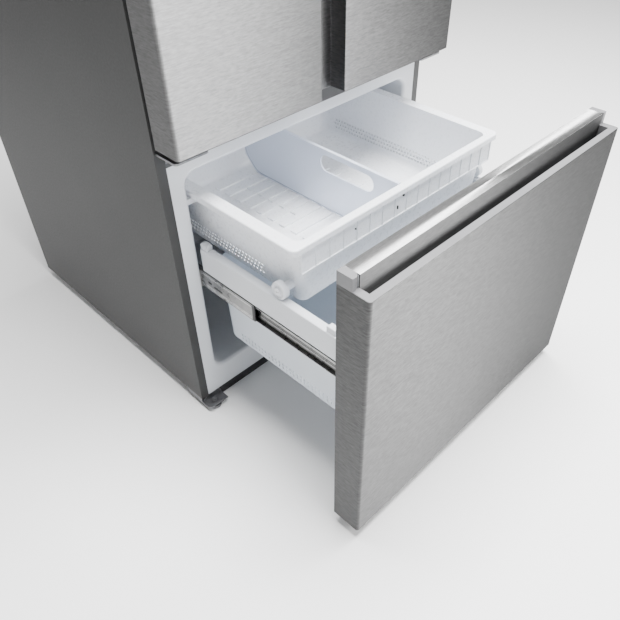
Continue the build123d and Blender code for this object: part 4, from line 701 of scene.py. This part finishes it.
for side in ("left", "right"):
    low, high = node_box(side + "_leg")
    x, y = ((low + high) / 2)[:2]
    leg = Shape().grid(lathe(PAD_PROFILE, (x, y, 0.0), (0.0, 0.0, 1.0)))
    leg.grid(threaded_stem(x, y))
    for nut in NUT_Z:
        leg.grid(hex_nut(x, y, nut))
    leg.hang(side + "_leg_thread", side + "_leg", plated, replaces=[side + "_leg"], smooth=32.0)

# %% [markdown]
# ## Screws
# A screw head is a low dome with a cross pressed into it. A boolean could cut the cross, but on a
# grid of rings and spokes it is enough to lower the points that lie in either arm, and the faces
# stay even. Over a disc of radius R the dome's height is h (1 - (r / R)^2 / 2), and inside the
# cross the cut's depth is taken away.

# %% Screw heads
SCREW_RINGS = (0.0, 0.1, 0.2, 0.3, 0.4, 0.5, 0.6, 0.7, 0.82, 0.92, 1.0)
SCREW_SPOKES = 40
SCREW_RADIUS = 4.0
SCREW_FOOT = -0.4               # the underside lies a little way in the sheet
CROSS_ARM = 0.13                # half an arm's width, as a share of the radius
CROSS_REACH = 0.55
CROSS_DEPTH = 0.55              # as a share of the dome's rise


def screw(centre, facing, rise):
    """One head, from the middle of its dome over its rim to the middle of its underside."""
    facing = np.asarray(facing, dtype=float)
    side = np.cross(facing, aside(facing))
    up = np.cross(side, facing)
    share = np.array(SCREW_RINGS)[:, None]
    angle = np.linspace(0.0, 2 * np.pi, SCREW_SPOKES, endpoint=False)
    u, v = share * np.cos(angle), share * np.sin(angle)
    nearer, farther = np.minimum(np.abs(u), np.abs(v)), np.maximum(np.abs(u), np.abs(v))
    cross = (nearer < CROSS_ARM) & (farther < CROSS_REACH)
    height = rise * (1 - share ** 2 / 2 - CROSS_DEPTH * cross)
    u, v = (np.concatenate([way, way[-1:], 0 * way[-1:]]) * SCREW_RADIUS for way in (u, v))
    height = np.concatenate([height, np.full((2, angle.size), SCREW_FOOT)])
    return (np.asarray(centre) + u[..., None] * side + v[..., None] * up
            + height[..., None] * facing)


def screws(name, places, facing, finish, rise=1.2):
    """Several heads on the case, each with its twin on the other side, as one piece."""
    heads = Shape()
    for place in places:
        heads.grid(screw(place, facing, rise))
    heads.add(heads.mirrored()).hang(name, "cabinet", finish, smooth=35.0)


# %% Where the screws sit
TO_FRONT = (0, -1, 0)
TO_BACK = (0, 1, 0)
HINGE_FACE = -2.5               # y of the plates screwed to the front edge
CASE_BACK = 755.0
DUCT_FACE = 672.0
EDGE_X = -366.0                 # the row up the side edge of the back
COVER_Z = (44.0, 238.0)         # lower and upper edge of the machine room's cover

back_places = [(x, CASE_BACK, z) for x in (EDGE_X, -250.0, -120.0) for z in COVER_Z]
back_places += [(EDGE_X, CASE_BACK, z) for z in (300.0, 640.0, 980.0, 1320.0, 1700.0)]

screws("hinge_screws", [(x, HINGE_FACE, 660.0) for x in (-345.0, -314.0)], TO_FRONT, plated)
screws("bracket_screws", [(-334.0, HINGE_FACE, 21.5)], TO_FRONT, plated)
screws("back_screws", back_places, TO_BACK, plated, rise=0.5)
screws("duct_screws", [(-90.0, DUCT_FACE, z) for z in (1000.0, 1630.0)], TO_FRONT, part_white)

# %% [markdown]
# ## Slides
# What a solid of the slides leaves out: the black bumper at the front of the middle section, its
# pressed ribs, the slots where the sections latch, and the dark raceways in which the balls of
# the drawer section roll. They could be bump in the finish, but a slide is looked at from close
# by, so each is a thin plate within the play between the sections. The ribs are a brighter metal
# than their section, a painted highlight, and the slots are black plates, a painted shade for
# their dark insides. A plate is a stack of outlines of which the first and the last are a little
# inset, so its edge is bevelled.

# %% Plates with round corners


def plate(low, high, radius, edge, axis=1):
    """A flat plate that faces along an axis: rings of outline - inset * normal at each depth."""
    low, high = np.asarray(low, dtype=float), np.asarray(high, dtype=float)
    flat = [way for way in range(3) if way != axis]
    outline, normals = rounded_rectangle(low[flat], high[flat], radius)
    middle = np.broadcast_to((low + high)[flat] / 2, outline.shape)
    inset = outline - edge * normals
    rings = ((middle, low[axis]), (inset, low[axis]), (outline, low[axis] + edge),
             (outline, high[axis] - edge), (inset, high[axis]), (middle, high[axis]))
    rows = np.zeros((len(rings), len(outline), 3))
    for row, (ring, depth) in zip(rows, rings):
        row[:, flat] = ring
        row[:, axis] = depth
    return rows


def side_plate(shape, x, y, z, radius, edge):
    """Adds to a shape a plate that faces sideways, from its pairs of x, y and z."""
    low, high = zip(x, y, z)
    return shape.grid(plate(low, high, radius, edge, axis=0))


# %% Details of the slides
MIDDLE_WEB = -320.1             # outer face of the middle section
BUMPER_X = (MIDDLE_WEB - 0.3, MIDDLE_WEB + 2.0)
BUMPER_SIDE = ((48.0, 56.0), (349.0, 388.0))            # y and z, as for the slots
SLOT_X = (MIDDLE_WEB - 0.25, MIDDLE_WEB + 0.2)
SLOT_SIDES = (((150.0, 178.0), (362.0, 367.0)), ((184.0, 196.0), (366.0, 372.0)))
RIB_X = (MIDDLE_WEB - 0.3, MIDDLE_WEB + 0.2)
RIB_Y = (58.0, 430.0)
RIB_FEET = (352.0, 356.0, 382.0)
DRAWER_WEB = -309.7             # outer face of the drawer section's web
TRACK_X = (DRAWER_WEB - 1.9, DRAWER_WEB - 1.45)
TRACK_Y = (-3.0, 395.0)
SECTION_FOOT = 351.3            # lower edge of the drawer section
TRACKS_UP = (1.2, 13.0, 17.0, 31.0)
BAND = 2.2                      # height of a rib and of a track


def bands(x, y, feet):
    """Level bands on a section's web, one above each of the given lower edges."""
    shape = Shape()
    for foot in feet:
        side_plate(shape, x, y, (foot, foot + BAND), 1.0, 0.1)
    return shape


# Painted highlight: the ribs are a brighter metal than their section.
ribs = bands(RIB_X, RIB_Y, RIB_FEET)
bumper = side_plate(Shape(), BUMPER_X, *BUMPER_SIDE, 2.0, 0.2)
# Painted shade: each slot is a black plate that stands for its dark inside.
for slot in SLOT_SIDES:
    side_plate(bumper, SLOT_X, *slot, 2.4, 0.05)
# Darker metal bands along the drawer section's raceways.
tracks = bands(TRACK_X, TRACK_Y, [SECTION_FOOT + up for up in TRACKS_UP])

for side in ("left", "right"):
    middle_section = side + "_slide_middle"
    for name, shape, body, finish, out in (
            ("ribs", ribs, middle_section, rib_steel_painted_highlight, SLIDE_OUT),
            ("bumper", bumper, middle_section, black_plastic, SLIDE_OUT),
            ("tracks", tracks, "freezer_drawer", dark_track_metal, DRAWER_OUT)):
        on_side = shape if side == "left" else shape.mirrored()
        on_side.hang(f"{side}_slide_{name}", body, finish, out)

# %% [markdown]
# ## Small marks on the basket
# The clip that holds each wheel has a slot and two pin holes, and the skirt has a latch button
# and two stops. A hole this small reads as a dark spot, so each mark is a dark plate let into the
# wall; for the slot and the holes that plate is a painted shade of their dark insides. The divider
# has a bead all the way round its edge: a tube along a path whose corners are rounded, which keeps
# the same thickness where a bevel of the solid's edge would not. The bead's plastic is a darker
# copy of the divider's, a painted shade for the dark line along its edge.

# %% Clips and latch
CLIP_X = (-318.55, -318.4)      # just through the outer face of a wheel's clip
WHEEL_CENTRE = (88.0, 465.3)
CLIP_MARKS = ((0.0, 0.0, 3.6, 1.6), (-4.6, 1.5, 1.2, 1.2), (4.6, -1.5, 1.2, 1.2))
SKIRT_FACE = 48.0
LATCH_MARKS = ((-12.0, 552.0, 5.0, 5.0), (-28.0, 531.0, 2.4, 8.0), (-151.0, 540.0, 2.6, 3.4))


def span(middle, length):
    """Both ends of a length, from its middle."""
    return middle - length / 2, middle + length / 2


# Painted shade: the plates for the slot and the holes stand for their dark insides.
marks = Shape()
for y, z, length, height in CLIP_MARKS:         # y and z from the wheel's middle
    side_plate(marks, CLIP_X, span(WHEEL_CENTRE[0] + y, length),
               span(WHEEL_CENTRE[1] + z, height), 0.4 * height, 0.02)
marks.add(marks.mirrored())
for x, z, width, height in LATCH_MARKS:
    low, high = zip(span(x, width), (SKIRT_FACE - 0.4, SKIRT_FACE + 3.0), span(z, height))
    marks.grid(plate(low, high, 0.45 * min(width, height), 0.1))
marks.hang("basket_hole_shade_plates", "upper_basket", black_plastic, BASKET_OUT)

# %% Bead of the divider
DIVIDER_FACE = -14.0
BEAD_RADIUS = 0.9
BEAD_BEND = 18.0
BEAD_CUT = 38.0                 # the slanted lower corner at the back
# how far the bead lies in from the divider's box
BEAD_FRONT, BEAD_BACK, BEAD_FOOT, BEAD_TOP = 10.0, 23.5, 3.5, 12.0

low, high = node_box("basket_divider", BASKET_OUT)
front, back = low[1] + BEAD_FRONT, high[1] - BEAD_BACK
foot, top = low[2] + BEAD_FOOT, high[2] - BEAD_TOP
side_view = ((front, top), (front, foot), (back - BEAD_CUT, foot), (back, foot + BEAD_CUT),
             (back, top))
edge = rounded_path([(DIVIDER_FACE, y, z) for y, z in side_view], BEAD_BEND)
# The bead's darker plastic is a painted shade for the dark line along the divider's edge.
Shape().grid(tube(edge, BEAD_RADIUS)).hang("divider_bead", "basket_divider", divider_bead_painted_shade,
                                           BASKET_OUT)

# %% [markdown]
# ## Fans
# Behind the panels are pieces that a solid gives only in outline. A fan blade is a twisted sheet,
# which is awkward to model by hand and short as a formula: along its chord s from 0 to 1 it turns
# by a fixed angle and rises from one face of the wheel to the other, with a hump of sin(pi s).
# The grid goes up one face of the sheet and back down the other, so the blade is closed.

# %% Fans
BLADES = 5
BLADE_TURN = math.radians(50.0)
BLADE_THICK = 1.6
BLADE_RISE = 0.7                # share of the wheel's width that the chord climbs
BLADE_HUMP = 0.12
BLADE_LAG = 0.006               # radians by which the blade falls back for each millimetre out
CHORD_STEPS = 14
SPAN_STEPS = 9
WHEEL_WIDTH = 15.0
HUB_EDGE = 1.2
HUB_BORE = 3.05


def fan_wheel(centre, axis, radius, hub):
    """Blades at angle k * 72 deg + turn * s - lag * r, height (s - 1/2) * rise + hump."""
    centre, axis = np.array(centre), np.array(axis)
    side = np.array([0.0, 0.0, 1.0])
    across = np.cross(axis, side)
    shell = ((0.0, HUB_BORE), (0.0, hub - HUB_EDGE), (HUB_EDGE, hub),
             (WHEEL_WIDTH - HUB_EDGE, hub), (WHEEL_WIDTH, hub - HUB_EDGE),
             (WHEEL_WIDTH, HUB_BORE))
    wheel = Shape().grid(lathe(shell, centre, axis), round_rows=True)
    share = np.linspace(0.0, 1.0, CHORD_STEPS)
    share = np.concatenate([share, np.linspace(1.0, 0.0, CHORD_STEPS)])
    face = np.repeat([0.5, -0.5], CHORD_STEPS) * BLADE_THICK
    rise = ((share - 0.5) * BLADE_RISE * WHEEL_WIDTH
            + BLADE_HUMP * WHEEL_WIDTH * np.sin(np.pi * share) + face)
    for blade in range(BLADES):
        rows = []
        for reach in np.linspace(hub - HUB_EDGE, radius, SPAN_STEPS):
            angle = blade * 2 * np.pi / BLADES + BLADE_TURN * share - BLADE_LAG * (reach - hub)
            ring = (np.cos(angle)[:, None] * side + np.sin(angle)[:, None] * across) * reach
            rows.append(centre + ring + (WHEEL_WIDTH / 2 + rise)[:, None] * axis)
        first, last = (np.repeat(row.mean(axis=0)[None], len(share), axis=0)
                       for row in (rows[0], rows[-1]))
        wheel.grid(np.array([first] + rows + [last]))
    return wheel


fan_wheel((0.0, 584.0, 552.0), (0.0, 1.0, 0.0), 39.0, 12.0).hang(
    "evaporator_fan_blades", "evaporator_fan", part_white, replaces=["evaporator_fan"])
fan_wheel((-51.0, 640.0, 140.0), (1.0, 0.0, 0.0), 68.0, 16.0).hang(
    "condenser_fan_blades", "condenser_fan", black_plastic, replaces=["condenser_fan"])

# %% [markdown]
# ## Bends of the coils
# Evaporator and condenser are each one long tube that runs to and fro through the fins. The
# solids have the straight lengths; here half-circles join their ends, with the same tube helper
# that made the divider's bead. Where each bend goes follows from the spacing of the rows.

# %% Bends of the coils
COIL_ROWS = 4
TUBE_RADIUS = 4.0
BEND_STEPS = 14
TO_RIGHT = (1.0, 0.0, 0.0)
TO_LEFT = (-1.0, 0.0, 0.0)
EVAPORATOR_END = 230.0
EVAPORATOR_Y = (608.0, 629.0)
EVAPORATOR_Z = (325.0, 490.0)
CONDENSER_X = (36.0, 304.0)
CONDENSER_Y = (576.0, 704.0)
CONDENSER_Z = (60.0, 230.0)


def row_heights(low, high):
    """Heights of the level tubes: low + (row + 1/2) * (high - low) / rows."""
    return low + (high - low) * (np.arange(COIL_ROWS) + 0.5) / COIL_ROWS


def bend(start, end, way):
    """Half a circle from one tube's end to the next: middle + cos * half + sin * bulge."""
    start, end = np.array(start), np.array(end)
    half = (start - end) / 2
    turn = np.linspace(0.0, np.pi, BEND_STEPS)[:, None]
    bulge = np.linalg.norm(half) * np.array(way)
    return tube((start + end) / 2 + np.cos(turn) * half + np.sin(turn) * bulge, TUBE_RADIUS)


cold = Shape()
heights = row_heights(*EVAPORATOR_Z)
for row, z in enumerate(heights):
    front, back = ((EVAPORATOR_END, y, z) for y in EVAPORATOR_Y)
    cold.grid(bend(front, back, TO_RIGHT))
    if row:
        below, above = ((-EVAPORATOR_END, EVAPORATOR_Y[row % 2], heights[place])
                        for place in (row - 1, row))
        cold.grid(bend(below, above, TO_LEFT))
cold.hang("evaporator_bends", "cabinet", aluminium)

warm = Shape()
heights = row_heights(*CONDENSER_Z)
for y in CONDENSER_Y:
    for row in range(COIL_ROWS - 1):
        x, way = (CONDENSER_X[0], TO_LEFT) if row % 2 else (CONDENSER_X[1], TO_RIGHT)
        warm.grid(bend((x, y, heights[row]), (x, y, heights[row + 1]), way))
warm.hang("condenser_bends", "cabinet", coil_black)

# %% [markdown]
# ## Compressor
# The compressor is a motor and pump sealed in two pressed steel shells, welded together round the
# middle where their rims make a band. It stands on a plate with four rubber mounts, and copper
# pipes leave its top. It is nearly a body of revolution, so one lathe profile gives dome, band and
# foot, and the rubber mounts are small lathe profiles of their own.

# %% Compressor
COMPRESSOR_AT = np.array([-190.0, 640.0, 0.0])
UPWARD = (0.0, 0.0, 1.0)
SHELL_PROFILE = ((60.0, 0.0), (60.0, 46.0), (62.0, 55.0), (66.5, 63.0), (74.0, 69.0), (84.0, 71.5),
                 (120.0, 71.5), (121.0, 74.5), (125.5, 74.5), (126.5, 71.0), (166.0, 71.0),
                 (176.0, 67.5), (183.5, 60.5), (188.0, 50.0), (190.0, 36.0), (190.0, 0.0))
SEAT_PROFILE = ((39.5, 0.0), (39.5, 50.0), (61.0, 47.0), (61.0, 0.0))
BASE_PLATE = ((-80.0, -80.0, 36.0), (80.0, 80.0, 40.0))
TERMINAL_BOX = ((-24.0, -79.0, 96.0), (24.0, -62.0, 146.0))
MOUNT_REACH = 65.0
MOUNT_PROFILE = ((30.0, 3.0), (30.0, 10.0), (32.0, 10.0), (33.0, 8.4), (34.2, 8.4), (35.2, 10.0),
                 (40.5, 10.0), (41.5, 8.5), (41.5, 3.0))

shell = Shape().grid(lathe(SHELL_PROFILE, COMPRESSOR_AT, UPWARD, 96))
shell.grid(lathe(SEAT_PROFILE, COMPRESSOR_AT, UPWARD, 64))
shell.grid(plate(*(COMPRESSOR_AT + BASE_PLATE), 14.0, 0.6, axis=2))
shell.grid(plate(*(COMPRESSOR_AT + TERMINAL_BOX), 6.0, 2.0))
shell.hang("compressor_shell", "cabinet", enamel, replaces=["compressor"])

rubber = Shape()
for across, along in ((-1, -1), (1, -1), (1, 1), (-1, 1)):
    mount_at = COMPRESSOR_AT + (across * MOUNT_REACH, along * MOUNT_REACH, 0.0)
    rubber.grid(lathe(MOUNT_PROFILE, mount_at, UPWARD, 32), round_rows=True)
rubber.hang("compressor_mounts", "cabinet", gasket_grey)

# %% Pipes of the compressor
SUCTION_PATH = ((36.0, 0.0, 180.0), (36.0, 0.0, 222.0), (36.0, 60.0, 222.0), (36.0, 60.0, 249.8))
SUCTION_RADIUS = 5.0
PROCESS_PATH = ((-40.0, 0.0, 176.0), (-40.0, 0.0, 214.0), (-62.0, -20.0, 232.0))
PROCESS_RADIUS = 3.2

suction = rounded_path(COMPRESSOR_AT + SUCTION_PATH, 14.0, 10)
process = rounded_path(COMPRESSOR_AT + PROCESS_PATH, 10.0, 8)
pipes = Shape().grid(tube(suction, SUCTION_RADIUS, 20)).grid(tube(process, PROCESS_RADIUS, 16))
pipes.hang("compressor_pipes", "cabinet", copper)

# %% [markdown]
# ## Floor and light
# The photograph shows the refrigerator on white, with soft shadows. So a pale floor runs out of
# sight, the sky gives an even light from all round, and two large square lamps, one above and one
# in front, give shadows with soft edges. Steel mirrors its lamps: a third one is seen in gloss
# alone, and its broad streak brightens the left side of the doors and of the drawer.

# %% Floor
FLOOR_REACH = 12.0

ground = bpy.data.meshes.new("studio_floor")
ground.from_pydata([(-FLOOR_REACH, -FLOOR_REACH, 0), (FLOOR_REACH, -FLOOR_REACH, 0),
                    (FLOOR_REACH, FLOOR_REACH, 0), (-FLOOR_REACH, FLOOR_REACH, 0)], [],
                   [(0, 1, 2, 3)])
floor = bpy.data.objects.new("studio_floor", ground)
bpy.context.collection.objects.link(floor)
pale = start_finish("studio_pale", (0.9, 0.9, 0.9), 0.8)
tint(pale, noise(pale, (0.6, 0.6, 0.6)), (0.895, 0.895, 0.895), (0.905, 0.905, 0.905))
floor.data.materials.append(pale.material)
print("floor:", 2 * FLOOR_REACH, "m each way")

# %% Sky and lamps
sky = bpy.data.worlds.new("studio_sky")
sky.use_nodes = True
background = sky.node_tree.nodes["Background"]
background.inputs["Color"].default_value = (1.0, 1.0, 1.0, 1.0)
background.inputs["Strength"].default_value = 0.42
bpy.context.scene.world = sky


def soft_light(name, place, aim, size, power, sheen_only=False):
    """A square area light at a place, turned to a point; one for sheen is seen in gloss alone."""
    lamp = bpy.data.lights.new(name, "AREA")
    lamp.size = size
    lamp.energy = power
    holder = bpy.data.objects.new(name, lamp)
    holder.location = place
    holder.rotation_euler = (Vector(aim) - Vector(place)).to_track_quat("-Z", "Y").to_euler()
    holder.visible_diffuse = not sheen_only
    bpy.context.collection.objects.link(holder)
    print(name, "lamp:", power, "W,", size, "m")


soft_light("overhead", (0.3, -0.35, 2.9), (0.0, -0.4, 0.3), 2.0, 470.0)
soft_light("front", (0.2, -3.2, 2.4), (0.0, -0.3, 0.5), 2.0, 110.0)
soft_light("front_right", (1.13, -2.2, 1.0), (-0.37, -0.56, 0.5), 1.0, 90.0, True)
